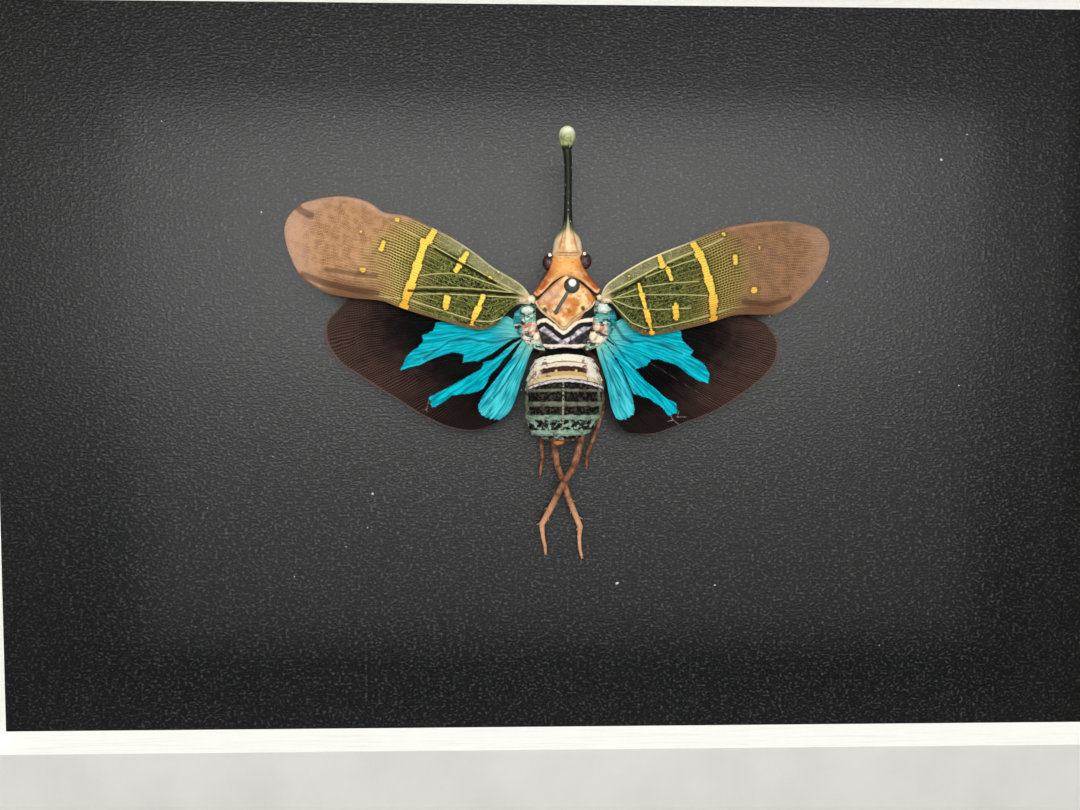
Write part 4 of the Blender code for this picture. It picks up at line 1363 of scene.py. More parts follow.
def blob(centre: tuple[float, float, float], radii: tuple[float, float, float], material: bpy.types.Material, wobble: float = 0.0, seed: int = 0, tilt: float = 0.0) -> Shell:
    """A rounded lump.

    Args:
        centre: Its middle as (u, v, w).
        radii: Its half sizes along u, v and w before it is tilted.
        material: Its finish.
        wobble: How uneven it is.
        seed: Picks its unevenness.
        tilt: Its turn in the board's plane, in degrees.

    Returns:
        The lump.
    """
    rings, sides = 18, 28
    polar = np.linspace(0.04, math.pi - 0.04, rings)[:, None]
    turns = np.linspace(0, 2 * math.pi, sides, endpoint=False)[None]
    unit = np.stack(np.broadcast_arrays(np.sin(polar) * np.cos(turns), np.cos(polar), np.sin(polar) * np.sin(turns)), axis=2)
    grown = 1 + wobble * (ripple(unit[..., :2] * 3 + seed, 2.2, seed) + ripple(unit[..., 1:] * 3, 1.4, seed + 1))
    local = unit * grown[..., None] * np.array(radii)
    angle = math.radians(tilt)
    u = local[..., 0] * math.cos(angle) - local[..., 1] * math.sin(angle)
    v = local[..., 0] * math.sin(angle) + local[..., 1] * math.cos(angle)
    points = np.stack([u, v, local[..., 2]], axis=2).reshape(-1, 3) + np.array(centre)
    faces = solid_grid(rings, sides, closed=True)
    faces += [tuple(range(sides))[::-1], tuple((rings - 1) * sides + side for side in range(sides))]
    return Shell(points, faces, material)


@dataclass(frozen=True)
class Head:
    """The head with its snout and bulb, two eyes and the pale bumps before them."""

    stations: tuple[Station, ...] = (
        Station(14.4, 0.0, 8.3, 0.9, 0.9),
        Station(14.9, 0.0, 8.4, 1.7, 1.6),
        Station(15.5, 0.0, 8.5, 2.05, 1.9),
        Station(16.4, 0.1, 8.6, 1.98, 1.9),
        Station(17.4, 0.1, 8.8, 1.82, 1.75),
        Station(18.1, 0.1, 9.0, 1.55, 1.45),
        Station(18.8, 0.1, 9.2, 1.05, 1.1),
        Station(19.6, 0.1, 9.4, 0.72, 0.8),
        Station(21.0, 0.1, 9.6, 0.56, 0.6),
        Station(23.5, 0.1, 9.9, 0.5, 0.54),
        Station(26.0, 0.1, 10.3, 0.5, 0.53),
        Station(28.3, 0.0, 10.7, 0.54, 0.56),
        Station(29.2, -0.1, 10.8, 0.6, 0.6),
        Station(29.7, -0.1, 10.9, 0.82, 0.82),
        Station(30.4, -0.1, 11.0, 1.05, 1.05),
        Station(31.1, -0.1, 11.1, 1.08, 1.05),
        Station(31.7, -0.1, 11.2, 0.85, 0.8),
        Station(32.05, -0.1, 11.2, 0.45, 0.42),
        Station(32.15, -0.1, 11.2, 0.1, 0.1),
    )
    eyes: tuple[tuple[float, float, float], ...] = ((-2.32, 14.72, 8.7), (2.38, 14.92, 8.7))
    eye_radii: tuple[float, float, float] = (0.98, 1.12, 1.0)
    bumps: tuple[tuple[float, float, float], ...] = ((-2.3, 15.6, 9.2), (2.35, 15.75, 9.2))

    @staticmethod
    def relief(v: np.ndarray, turn: np.ndarray) -> np.ndarray:
        """Keels along the head's back, a crease behind it, and the snout's fine granules."""
        on_head = np.clip((v - 15.8) / 0.6, 0, 1) * np.clip((19.2 - v) / 0.8, 0, 1)
        keels = sum(np.exp(-(((turn - math.radians(at)) / 0.09) ** 2)) for at in (90, 52, 128))
        groove = np.exp(-(((v - 15.6) / 0.16) ** 2)) * np.clip(np.sin(turn), 0, 1)
        on_snout = np.clip((v - 19.0) / 0.6, 0, 1) * np.clip((29.4 - v) / 0.5, 0, 1)
        granules = np.sin(v * 21 + 3 * np.sin(turn * 2)) * np.sin(turn * 7 + v * 3)
        ridge = np.exp(-(((turn - math.pi / 2) / 0.25) ** 2)) * np.clip((21.5 - v) / 2, 0, 1) * on_snout
        return 0.10 * keels * on_head - 0.14 * groove + 0.022 * granules * on_snout + 0.08 * ridge

    def build(self) -> bpy.types.Object:
        """Builds and dresses the head."""
        cornea = EyeCornea().material()
        wax = MottledCuticle("eye_bump_cuticle", tone(250, 244, 224), tone(255, 252, 240), tone(180, 140, 100), 0.2).material()
        shells = [stations_loft(self.stations, 230, 56, HeadCuticle().material(), self.relief)]
        shells += [blob(centre, self.eye_radii, cornea) for centre in self.eyes]
        shells += [blob(centre, (0.24, 0.36, 0.3), wax, 0.06, 4) for centre in self.bumps]
        return assemble("head", shells, ("head",))


@dataclass(frozen=True)
class Plate:
    """A domed plate of the thorax between four edges, with a rim height and a crown height."""

    front: Path
    outer: Path
    rear: Path
    rim: float
    crown: float
    depth: float
    rows: int = 56
    columns: int = 64
    fullness: float = 0.6

    def shell(
        self, material: bpy.types.Material, below: Path | None = None, creasing: float = 0.03, seed: int = 7
    ) -> Shell:
        """Builds the plate.

        Args:
            material: Its finish.
            below: A line from which the finish measures its bands, or None.
            creasing: How far its surface creases up and down.
            seed: Picks the creases.

        Returns:
            The plate.
        """
        shape = WingShape(self.front, self.outer, self.rear, (0, 0, 0), 0.0, self.rows, self.columns)
        flat, along, across = shape.coordinates()
        dome = (np.sin(math.pi * along) * np.sin(math.pi * across)) ** self.fullness
        height = self.rim + (self.crown - self.rim) * dome
        height += creasing * (ripple(flat, 1.6, seed) + 0.5 * ripple(flat, 0.7, seed + 1))
        loop = np.vstack([flat[0], flat[:, -1], flat[-1][::-1], flat[::-1, 0]])[::3]
        values = {"border": distance_to_path(flat, tuple(map(tuple, loop)))}
        values["rear"] = distance_to_path(flat, tuple(map(tuple, flat[-1][::2])))
        if below:
            values["below"] = distance_to_path(flat, below)
        return shape.shell(flat, height - self.depth / 2, np.full_like(height, self.depth), values, material)


@dataclass(frozen=True)
class Thorax:
    """The thorax: a core, the orange collar, the shield, the banded plate behind it and the wing hinges."""

    stations: tuple[Station, ...] = (
        Station(14.3, -0.1, 8.2, 0.9, 0.8),
        Station(13.8, -0.1, 8.1, 1.7, 1.4),
        Station(12.4, -0.1, 7.8, 2.8, 2.1),
        Station(10.8, 0.0, 7.4, 4.0, 2.5),
        Station(9.4, -0.1, 7.3, 4.2, 2.6),
        Station(7.6, -0.2, 7.2, 3.9, 2.5),
        Station(5.8, -0.3, 7.1, 3.7, 2.3),
        Station(4.4, -0.3, 7.0, 3.6, 2.1),
        Station(3.3, -0.3, 7.0, 2.8, 1.6),
    )
    collar: Plate = Plate(
        front=((-1.95, 15.35), (-2.25, 14.2), (-2.75, 13.1), (-3.7, 11.7), (-4.62, 10.45)),
        outer=((-4.3, 10.05), (-3.9, 9.95), (-2.9, 10.7), (-1.7, 11.9), (-0.15, 12.7), (1.6, 12.1), (2.9, 11.1), (3.95, 10.35), (4.4, 10.6)),
        rear=((1.72, 15.5), (2.05, 14.4), (2.6, 13.4), (3.6, 12.1), (4.55, 11.0)),
        rim=9.5,
        crown=10.7,
        depth=0.9,
    )
    shield: Plate = Plate(
        front=((-0.1, 13.2), (-1.6, 12.1), (-3.0, 10.8), (-4.35, 9.35)),
        outer=((-3.6, 8.2), (-2.8, 7.5), (-1.6, 6.55), (-0.95, 5.85), (-0.5, 5.62), (0.0, 5.85), (0.9, 6.85), (2.2, 7.85), (3.3, 8.6)),
        rear=((-0.05, 13.2), (1.5, 12.2), (2.9, 11.1), (4.0, 9.75)),
        rim=9.75,
        crown=10.85,
        depth=0.8,
    )
    banded: Plate = Plate(
        front=((-4.2, 8.6), (-4.1, 7.0), (-3.7, 5.2), (-3.1, 3.5)),
        outer=((-2.2, 3.1), (-0.4, 3.3), (1.6, 3.2)),
        rear=((3.7, 9.0), (3.6, 7.2), (3.2, 5.4), (2.7, 3.7)),
        rim=8.9,
        crown=9.45,
        depth=1.2,
    )
    chevron: Path = ((-4.3, 6.4), (-3.5, 6.9), (-2.73, 6.95), (-1.83, 6.35), (-1.06, 5.65), (-0.48, 5.28), (0.23, 5.72), (1.0, 6.45), (1.9, 6.85), (3.5, 7.05))
    left_root: Plate = Plate(
        front=((-3.4, 9.5), (-4.6, 9.35), (-5.9, 9.0), (-7.0, 8.1)),
        outer=((-7.2, 7.0), (-6.9, 5.8), (-6.2, 4.8)),
        rear=((-2.9, 2.9), (-3.6, 3.0), (-4.5, 3.3), (-5.2, 3.7)),
        rim=7.7,
        crown=8.15,
        depth=0.6,
        rows=70,
        columns=90,
    )
    right_root: Plate = Plate(
        front=((3.1, 9.8), (4.3, 9.7), (5.5, 9.3), (6.6, 8.3)),
        outer=((6.9, 7.2), (6.5, 6.0), (5.8, 4.9)),
        rear=((2.6, 2.9), (3.3, 3.0), (4.2, 3.4), (4.9, 3.8)),
        rim=7.7,
        crown=8.15,
        depth=0.6,
        rows=70,
        columns=90,
    )

    def hinges(self) -> list[Shell]:
        """The knobs and small hardened pieces where the wings join."""
        cream = MottledCuticle("hinge_cream", tone(236, 214, 168), tone(250, 240, 212), tone(160, 110, 70), 0.3, 1.4).material()
        mint = MottledCuticle("hinge_mint", tone(176, 204, 186), tone(222, 236, 222), tone(90, 130, 110), 0.3, 1.4).material()
        pink = MottledCuticle("hinge_pink", tone(216, 176, 146), tone(240, 216, 186), tone(96, 60, 44), 0.5, 1.6).material()
        rows = (
            (cream, (-4.75, 9.75, 9.1), (0.6, 0.52, 0.5), 0),
            (cream, (4.35, 10.0, 9.4), (0.36, 0.34, 0.36), 0),
            (pink, (-5.7, 9.7, 8.6), (0.75, 0.32, 0.4), 10),
            (pink, (5.3, 9.7, 8.6), (0.75, 0.36, 0.4), -8),
            (mint, (-5.3, 8.35, 8.5), (0.85, 0.55, 0.45), 12),
            (mint, (4.95, 8.6, 8.5), (0.95, 0.6, 0.45), -6),
            (pink, (-4.6, 5.9, 8.3), (0.6, 0.42, 0.4), 30),
            (pink, (4.1, 6.1, 8.4), (0.55, 0.5, 0.4), -20),
            (cream, (-3.9, 4.9, 8.2), (0.7, 0.5, 0.4), 55),
            (cream, (3.5, 4.9, 8.3), (0.6, 0.6, 0.4), -50),
        )
        return [
            blob(centre, radii, material, 0.22, number, tilt)
            for number, (material, centre, radii, tilt) in enumerate(rows)
        ]

    def build(self) -> bpy.types.Object:
        """Builds and dresses the thorax."""
        root = RootCuticle().material()
        under = MottledCuticle("thorax_side_cuticle", tone(196, 128, 66), tone(222, 168, 104), tone(70, 40, 22), 0.5).material()
        shells = [
            stations_loft(self.stations, 60, 48, under),
            self.collar.shell(PronotumCuticle().material()),
            self.shield.shell(MesonotumCuticle().material()),
            self.banded.shell(MetanotumCuticle().material(), self.chevron),
            self.left_root.shell(root, None, 0.30, 21),
            self.right_root.shell(root, None, 0.30, 22),
            *self.hinges(),
        ]
        return assemble("thorax", shells, ("thorax",))


@dataclass(frozen=True)
class Abdomen:
    """The segmented abdomen with its raised rims and its small tan tip."""

    stations: tuple[Station, ...] = (
        Station(3.15, -0.3, 7.0, 1.0, 0.9),
        Station(2.9, -0.3, 7.0, 2.3, 1.7),
        Station(2.2, -0.2, 7.0, 3.5, 2.2),
        Station(1.0, -0.2, 7.0, 4.45, 2.6),
        Station(-0.6, -0.2, 7.0, 5.05, 2.75),
        Station(-2.0, -0.2, 7.0, 5.35, 2.75),
        Station(-4.4, -0.25, 7.0, 5.38, 2.65),
        Station(-6.4, -0.45, 6.9, 5.1, 2.4),
        Station(-8.2, -0.7, 6.8, 4.1, 1.9),
        Station(-9.0, -0.85, 6.7, 2.9, 1.4),
        Station(-9.5, -0.95, 6.6, 1.6, 1.0),
    )
    rims: tuple[float, ...] = (-1.2, -2.6, -4.5, -6.4, -8.5)

    def relief(self, v: np.ndarray, turn: np.ndarray) -> np.ndarray:
        """Each segment swells towards its rear rim and then steps down, with a low keel along the middle."""
        bounds = (3.2, 1.5, 0.35, *self.rims, -9.6)
        step = np.zeros_like(v)
        for front, rear in zip(bounds, bounds[1:]):
            share = (front - v) / (front - rear)
            step += np.where((share >= 0) & (share < 1), share**2, 0)
        keel = np.exp(-(((turn - math.pi / 2) / 0.06) ** 2)) * (v < -0.9)
        places = np.stack([turn * 4, v], axis=-1)
        return 0.16 * step - 0.08 + 0.05 * keel + 0.05 * ripple(places, 1.3, 5) + 0.03 * ripple(places, 0.5, 6)

    def build(self) -> bpy.types.Object:
        """Builds and dresses the abdomen."""
        tip = MottledCuticle("abdomen_tip_cuticle", tone(176, 96, 44), tone(206, 128, 66), tone(70, 40, 22), 0.5).material()
        fringe = MottledCuticle("abdomen_fringe", tone(120, 108, 92), tone(176, 168, 152), tone(40, 30, 24), 0.6, 1.6).material()
        shells = [
            stations_loft(self.stations, 220, 120, AbdomenCuticle().material(), self.relief),
            blob((-1.0, -9.6, 6.9), (0.75, 0.5, 0.55), tip, 0.1, 3),
            blob((-2.6, -9.0, 6.9), (0.55, 0.3, 0.4), fringe, 0.2, 8, 20),
            blob((0.6, -9.1, 6.9), (0.6, 0.3, 0.4), fringe, 0.2, 9, -15),
            blob((-4.6, -8.5, 6.6), (0.22, 0.22, 0.3), fringe, 0.2, 10),
        ]
        return assemble("abdomen", shells, ("abdomen",))


@dataclass(frozen=True)
class Leg:
    """A leg along its joints: each point has u, v, w and a radius. Tibial spines stand on some legs."""

    name: str
    joints: Path
    spines: int = 0
    spine_from: int = 4

    def tube(self, material: bpy.types.Material) -> Shell:
        """The leg's own surface, swollen at each joint."""
        sides, steps = 16, 10
        table = np.asarray(self.joints, float)
        fine, knots = [], []
        for start, end in zip(table[:-1], table[1:]):
            for step in range(steps):
                share = step / steps
                fine.append(start + (end - start) * share)
                knots.append(min(share, 1 - share))
        fine.append(table[-1])
        knots.append(0.0)
        fine, knots = np.array(fine), np.array(knots)
        along = np.gradient(fine[:, :3], axis=0)
        along /= np.linalg.norm(along, axis=1)[:, None]
        side = np.cross(along, (0.0, 0.0, 1.0))
        side /= np.linalg.norm(side, axis=1)[:, None]
        up = np.cross(side, along)
        rough = 1 + 0.05 * ripple(fine[:, :2] * 4, 1.0, 11)
        radius = fine[:, 3] * (1 + 0.10 * np.exp(-((knots / 0.08) ** 2))) * rough
        radius[0] *= 0.5
        radius[-1] *= 0.3
        turns = np.linspace(0, 2 * math.pi, sides, endpoint=False)
        ring = np.cos(turns)[None, :, None] * side[:, None] + np.sin(turns)[None, :, None] * up[:, None]
        points = fine[:, None, :3] + ring * radius[:, None, None]
        joint = np.repeat(np.exp(-((knots / 0.10) ** 2))[:, None], sides, axis=1)
        faces = solid_grid(len(fine), sides, closed=True)
        faces += [tuple(range(sides))[::-1], tuple((len(fine) - 1) * sides + s for s in range(sides))]
        return Shell(points.reshape(-1, 3), faces, material, {"joint": joint.reshape(-1)})

    def spine(self, base: np.ndarray, direction: np.ndarray, length: float, material: bpy.types.Material) -> Shell:
        """A short, sharp spine.

        Args:
            base: Where it stands.
            direction: Which way it points.
            length: Its length.
            material: Its finish.

        Returns:
            The spine.
        """
        direction = direction / np.linalg.norm(direction)
        side = np.cross(direction, (0.3, 0.2, 1.0))
        side /= np.linalg.norm(side)
        other = np.cross(direction, side)
        rings = []
        for share, radius in ((0.0, 0.11), (0.5, 0.07), (1.0, 0.012)):
            turns = np.linspace(0, 2 * math.pi, 6, endpoint=False)
            ring = np.cos(turns)[:, None] * side + np.sin(turns)[:, None] * other
            rings.append(base + direction * length * share + ring * radius)
        faces = solid_grid(3, 6, closed=True)
        faces += [tuple(range(6))[::-1], tuple(12 + corner for corner in range(6))]
        points = np.vstack(rings)
        return Shell(points, faces, material, {"joint": np.repeat([0.2, 0.6, 1.0], 6)})

    def build(self) -> bpy.types.Object:
        """Builds and dresses the leg."""
        material = LegCuticle().material()
        shells = [self.tube(material)]
        table = np.asarray(self.joints, float)
        if self.spines:
            start, end = table[self.spine_from], table[self.spine_from + self.spines // 2]
            along = (end - start)[:3]
            across = np.array([along[1], -along[0], 0.0]) / np.linalg.norm(along)
            for number in range(self.spines):
                share = 0.1 + 0.9 * number / (self.spines - 1)
                way = 1 if number % 2 else -1
                base = start[:3] + along * share + across * way * 0.35
                shells.append(self.spine(base, across * way + along * 0.12, 0.55, material))
        foot, before = table[-1], table[-2]
        ahead = (foot - before)[:3]
        for way in (-1, 1):
            side = np.array([ahead[1], -ahead[0], 0.0]) * way * 0.6
            shells.append(self.spine(foot[:3], ahead + side + (0, 0, -0.1), 0.4, material))
        return assemble(self.name, shells, (self.name,))


@dataclass(frozen=True)
class Pin:
    """A steel pin with an enamelled ball, leaning through the thorax into the board."""

    entry: tuple[float, float, float] = (-1.4, 8.2, 10.8)
    ball: tuple[float, float, float] = (0.1, 10.6, 18.6)
    radius: float = 0.22
    ball_radius: float = 1.0
    depth: float = 5.0

    def build(self) -> bpy.types.Object:
        """Builds and dresses the pin."""
        entry, ball = np.array(self.entry), np.array(self.ball)
        axis = (ball - entry) / np.linalg.norm(ball - entry)
        length = (self.ball[2] + self.depth) / axis[2]
        tip = ball - axis * length
        side = np.cross(axis, (1.0, 0.0, 0.0))
        side /= np.linalg.norm(side)
        other = np.cross(axis, side)
        shaft = [(0.0, 0.01), (1.2, self.radius), (length - self.ball_radius * 0.9, self.radius)]
        angles = np.linspace(math.radians(167), math.radians(2), 28)
        head = [(length + self.ball_radius * math.cos(a), self.ball_radius * math.sin(a)) for a in angles]
        steel = ZincSteel(tone(150, 156, 146), "pin_steel").material()
        shells = []
        for profile, material in ((shaft, steel), (head, self.enamel())):
            turns = np.linspace(0, 2 * math.pi, 40, endpoint=False)
            ring = np.cos(turns)[:, None] * side + np.sin(turns)[:, None] * other
            points = np.vstack([tip + axis * distance + ring * radius for distance, radius in profile])
            faces = solid_grid(len(profile), 40, closed=True)
            faces += [tuple(range(40))[::-1], tuple((len(profile) - 1) * 40 + corner for corner in range(40))]
            shells.append(Shell(points, faces, material))
        return assemble("pin", shells, ("pin",))

    def enamel(self) -> bpy.types.Material:
        """Dark, glossy enamel with a painted white highlight on the front of the ball, just above its middle."""
        shader = Shader("pin_enamel")
        patch = shader.noise(1.2, 2.0)
        colour = shader.mix(tone(38, 32, 26), tone(92, 84, 72), patch)
        # Painted highlight: a white disc on the ball's front, above its middle, where a lamp's reflection would sit.
        u, v = shader.u() - (self.ball[0] + 0.02), shader.v() - (self.ball[1] + 0.26)
        away = (u * u + v * v).math("SQRT") + (patch - 0.5) * 0.1
        crown = (1.0 - away.edge(0.34, 0.56)) * (shader.place().part(1) * -1.0).edge(-BOARD_Y / MM + 18.6, 19.2 - BOARD_Y / MM)
        colour = shader.mix(colour, tone(244, 244, 238), crown)
        return shader.finish(colour, 0.16, None, {"Coat Weight": 1.0, "Coat Roughness": 0.08})


@dataclass(frozen=True)
class Lint:
    """White specks of lint that lie on the black card."""

    count: int = 22
    half_width: float = 66.0
    half_height: float = 41.0
    seed: int = 12
    large: Path = ((-27.9, -17.8), (8.0, -31.2), (55.2, 31.0))

    def build(self) -> bpy.types.Object:
        """Builds and dresses the specks."""
        chosen = np.random.default_rng(self.seed)
        material = MottledCuticle("lint", tone(196, 198, 194), tone(232, 232, 228), tone(150, 150, 146), 0.4, 2.0, 0.8).material()
        places = [(u, v, 0.16) for u, v in self.large]
        for _ in range(self.count):
            u = chosen.uniform(-self.half_width, self.half_width)
            v = chosen.uniform(-self.half_height, self.half_height)
            places.append((u, v, chosen.uniform(0.04, 0.09)))
        shells = []
        for number, (u, v, size) in enumerate(places):
            radii = (size * chosen.uniform(0.8, 1.8), size, size * 0.5)
            shells.append(blob((u, v, size * 0.4), radii, material, 0.2, number, chosen.uniform(0, 180)))
        return assemble("lint_specks", shells)


@dataclass(frozen=True)
class Insect:
    """The whole lanternfly on its pin."""

    head: Head = Head()
    thorax: Thorax = Thorax()
    abdomen: Abdomen = Abdomen()
    pin: Pin = Pin()

    def forewings(self) -> tuple[Forewing, Forewing]:
        """The left and the right forewing."""
        left = WingShape(
            front=((-4.8, 10.1), (-6.3, 11.9), (-9.9, 14.1), (-13.0, 16.5), (-16.8, 18.8), (-21.5, 21.0), (-24.6, 21.6), (-27.0, 23.1), (-30.2, 23.8), (-33.5, 23.8)),
            outer=((-36.4, 22.8), (-38.3, 20.5), (-38.4, 18.0), (-37.4, 14.9)),
            rear=((-4.9, 9.1), (-6.4, 9.2), (-7.8, 8.3), (-9.5, 6.5), (-11.0, 5.8), (-13.0, 5.9), (-17.0, 7.0), (-22.5, 8.7), (-25.3, 9.7), (-29.5, 10.1), (-33.2, 11.0), (-36.2, 12.9)),
            heights=(8.5, 7.5, 6.5),
            camber=0.5,
            rows=290,
            columns=116,
        )
        right = WingShape(
            front=((4.6, 10.3), (5.6, 12.0), (8.9, 14.2), (12.3, 15.9), (17.3, 17.9), (20.9, 19.5), (25.0, 20.4), (28.5, 20.8), (32.4, 20.7)),
            outer=((35.2, 19.8), (36.6, 17.9), (36.2, 15.0), (34.6, 12.3)),
            rear=((4.7, 9.3), (6.0, 9.3), (7.8, 7.2), (9.2, 5.8), (10.9, 5.0), (13.5, 5.3), (18.8, 6.5), (23.3, 7.8), (27.2, 7.9), (29.5, 8.1), (32.0, 9.5)),
            heights=(8.5, 7.5, 6.5),
            camber=0.5,
            rows=290,
            columns=116,
        )
        left_marks = (
            Mark(((-17.9, 19.1), (-18.6, 17.9)), 0.62),
            Mark(((-19.2, 17.5), (-19.9, 15.2), (-20.4, 13.6), (-21.0, 11.9), (-21.7, 10.2), (-22.1, 8.8)), 0.62),
            Mark(((-22.9, 20.6),), 0.5),
            Mark(((-27.8, 19.0),), 0.34),
            Mark(((-24.7, 17.5), (-25.0, 16.7)), 0.42),
            Mark(((-27.6, 13.9),), 0.38),
            Mark(((-13.5, 16.0), (-14.9, 13.7)), 0.5),
            Mark(((-9.2, 13.5),), 0.34),
            Mark(((-10.4, 12.6),), 0.3),
            Mark(((-11.2, 11.3),), 0.24),
            Mark(((-16.1, 10.1), (-16.4, 8.6)), 0.42),
            Mark(((-11.3, 10.1), (-12.8, 6.7)), 0.42),
        )
        right_marks = (
            Mark(((17.3, 17.6), (18.0, 16.4)), 0.6),
            Mark(((18.0, 16.2), (18.7, 14.8), (19.2, 13.0), (19.7, 11.5), (20.1, 9.9), (20.2, 7.4)), 0.6),
            Mark(((21.5, 18.8),), 0.44),
            Mark(((26.4, 17.0),), 0.36),
            Mark(((23.0, 15.8), (23.1, 14.9)), 0.45),
            Mark(((25.8, 11.2),), 0.42),
            Mark(((12.7, 15.6), (13.0, 14.6)), 0.52),
            Mark(((13.8, 13.8), (14.2, 12.6)), 0.42),
            Mark(((8.4, 13.0),), 0.3),
            Mark(((9.8, 11.9), (10.5, 9.4), (11.2, 7.0), (11.7, 5.4)), 0.36),
            Mark(((14.8, 9.2), (15.0, 7.2)), 0.4),
        )
        left_veins = (
            Mark(((-5.2, 9.9), (-6.8, 10.9), (-9.6, 12.3), (-12.2, 13.8), (-15.0, 15.3), (-17.8, 16.9), (-19.9, 18.2), (-22.4, 19.5), (-25.2, 20.9)), 0.0),
            Mark(((-5.2, 9.8), (-9.9, 11.8), (-13.4, 13.0), (-15.7, 13.3), (-18.0, 13.2), (-19.9, 13.0)), 0.0),
            Mark(((-7.5, 10.7), (-11.0, 11.1), (-14.5, 11.35), (-18.0, 11.45), (-20.8, 11.45)), 0.0),
            Mark(((-5.2, 9.8), (-6.6, 10.0), (-9.9, 10.2), (-14.5, 10.45), (-18.0, 10.55), (-21.1, 10.5)), 0.0),
            Mark(((-6.6, 8.9), (-8.0, 7.6), (-10.1, 6.8), (-12.2, 6.9), (-14.6, 7.6), (-17.4, 8.5), (-21.1, 9.7), (-26.2, 10.4)), 0.0),
        )
        left_furrow = (
            Mark(((-5.6, 10.2), (-7.2, 10.5), (-9.9, 10.65), (-14.5, 10.9), (-19.2, 11.0), (-21.4, 11.0)), 0.0),
            Mark(((-9.6, 12.0), (-12.2, 13.5), (-15.0, 15.0), (-17.8, 16.6)), 0.0),
        )
        left_shade = (Mark(((-10.8, 11.5), (-14.5, 12.2), (-18.2, 12.3)), 0.35),)
        left_creases = (
            Mark(((-37.1, 23.0), (-36.2, 22.0), (-34.8, 21.3)), 0.2),
            Mark(((-36.1, 13.3), (-32.6, 12.05), (-28.6, 11.1), (-25.8, 10.7)), 0.15),
            Mark(((-32.6, 13.9), (-29.1, 13.35), (-25.8, 13.0)), 0.05),
        )
        right_veins = (
            Mark(((4.9, 10.1), (5.8, 10.8), (7.8, 11.8), (10.1, 13.0), (12.3, 14.2), (15.9, 15.8), (19.8, 17.4), (21.4, 18.2)), 0.05),
            Mark(((4.9, 10.0), (6.4, 10.5), (8.9, 12.05), (10.7, 12.8), (13.0, 13.75), (15.95, 14.8), (18.7, 15.6)), 0.0),
            Mark(((6.7, 10.1), (10.1, 11.5), (14.2, 12.05), (18.0, 12.3)), 0.0),
            Mark(((5.2, 9.8), (6.7, 10.0), (10.1, 10.45), (14.6, 10.5), (19.2, 10.4)), 0.0),
            Mark(((6.4, 9.7), (8.9, 8.7), (12.35, 8.45), (16.9, 8.7)), 0.0),
            Mark(((6.2, 9.4), (7.6, 7.9), (8.9, 6.65), (10.8, 5.95), (13.5, 6.2), (16.9, 7.0), (20.1, 7.9), (22.8, 8.8), (25.1, 9.0)), 0.0),
        )
        right_furrow = (Mark(((6.0, 10.4), (8.5, 11.6), (10.5, 12.75)), 0.0),)
        right_shade = (Mark(((9.5, 9.9), (13.0, 9.4), (17.5, 9.3)), 0.1), Mark(((12.0, 13.2), (16.0, 14.2)), 0.1))
        right_creases = (Mark(((24.5, 9.6), (28.0, 9.3), (31.0, 10.2)), 0.05),)
        # The left membrane is painted lighter and the right one's browns darker: painted light and painted shade, the
        # left wing lit more than the right.
        left_membrane = ForewingMembrane("left_forewing_membrane", 1.15, tone(118, 76, 44), tone(174, 128, 88), 0.7, 0.45)
        right_membrane = ForewingMembrane("right_forewing_membrane", 1.0, tone(72, 44, 22), tone(116, 78, 46), 0.35, 0.95, 0.62)
        return (
            Forewing("left_forewing", left, left_marks, left_membrane, left_veins, left_furrow, left_shade, left_creases),
            Forewing(
                "right_forewing", right, right_marks, right_membrane, right_veins, right_furrow, right_shade, right_creases, seed=2
            ),
        )

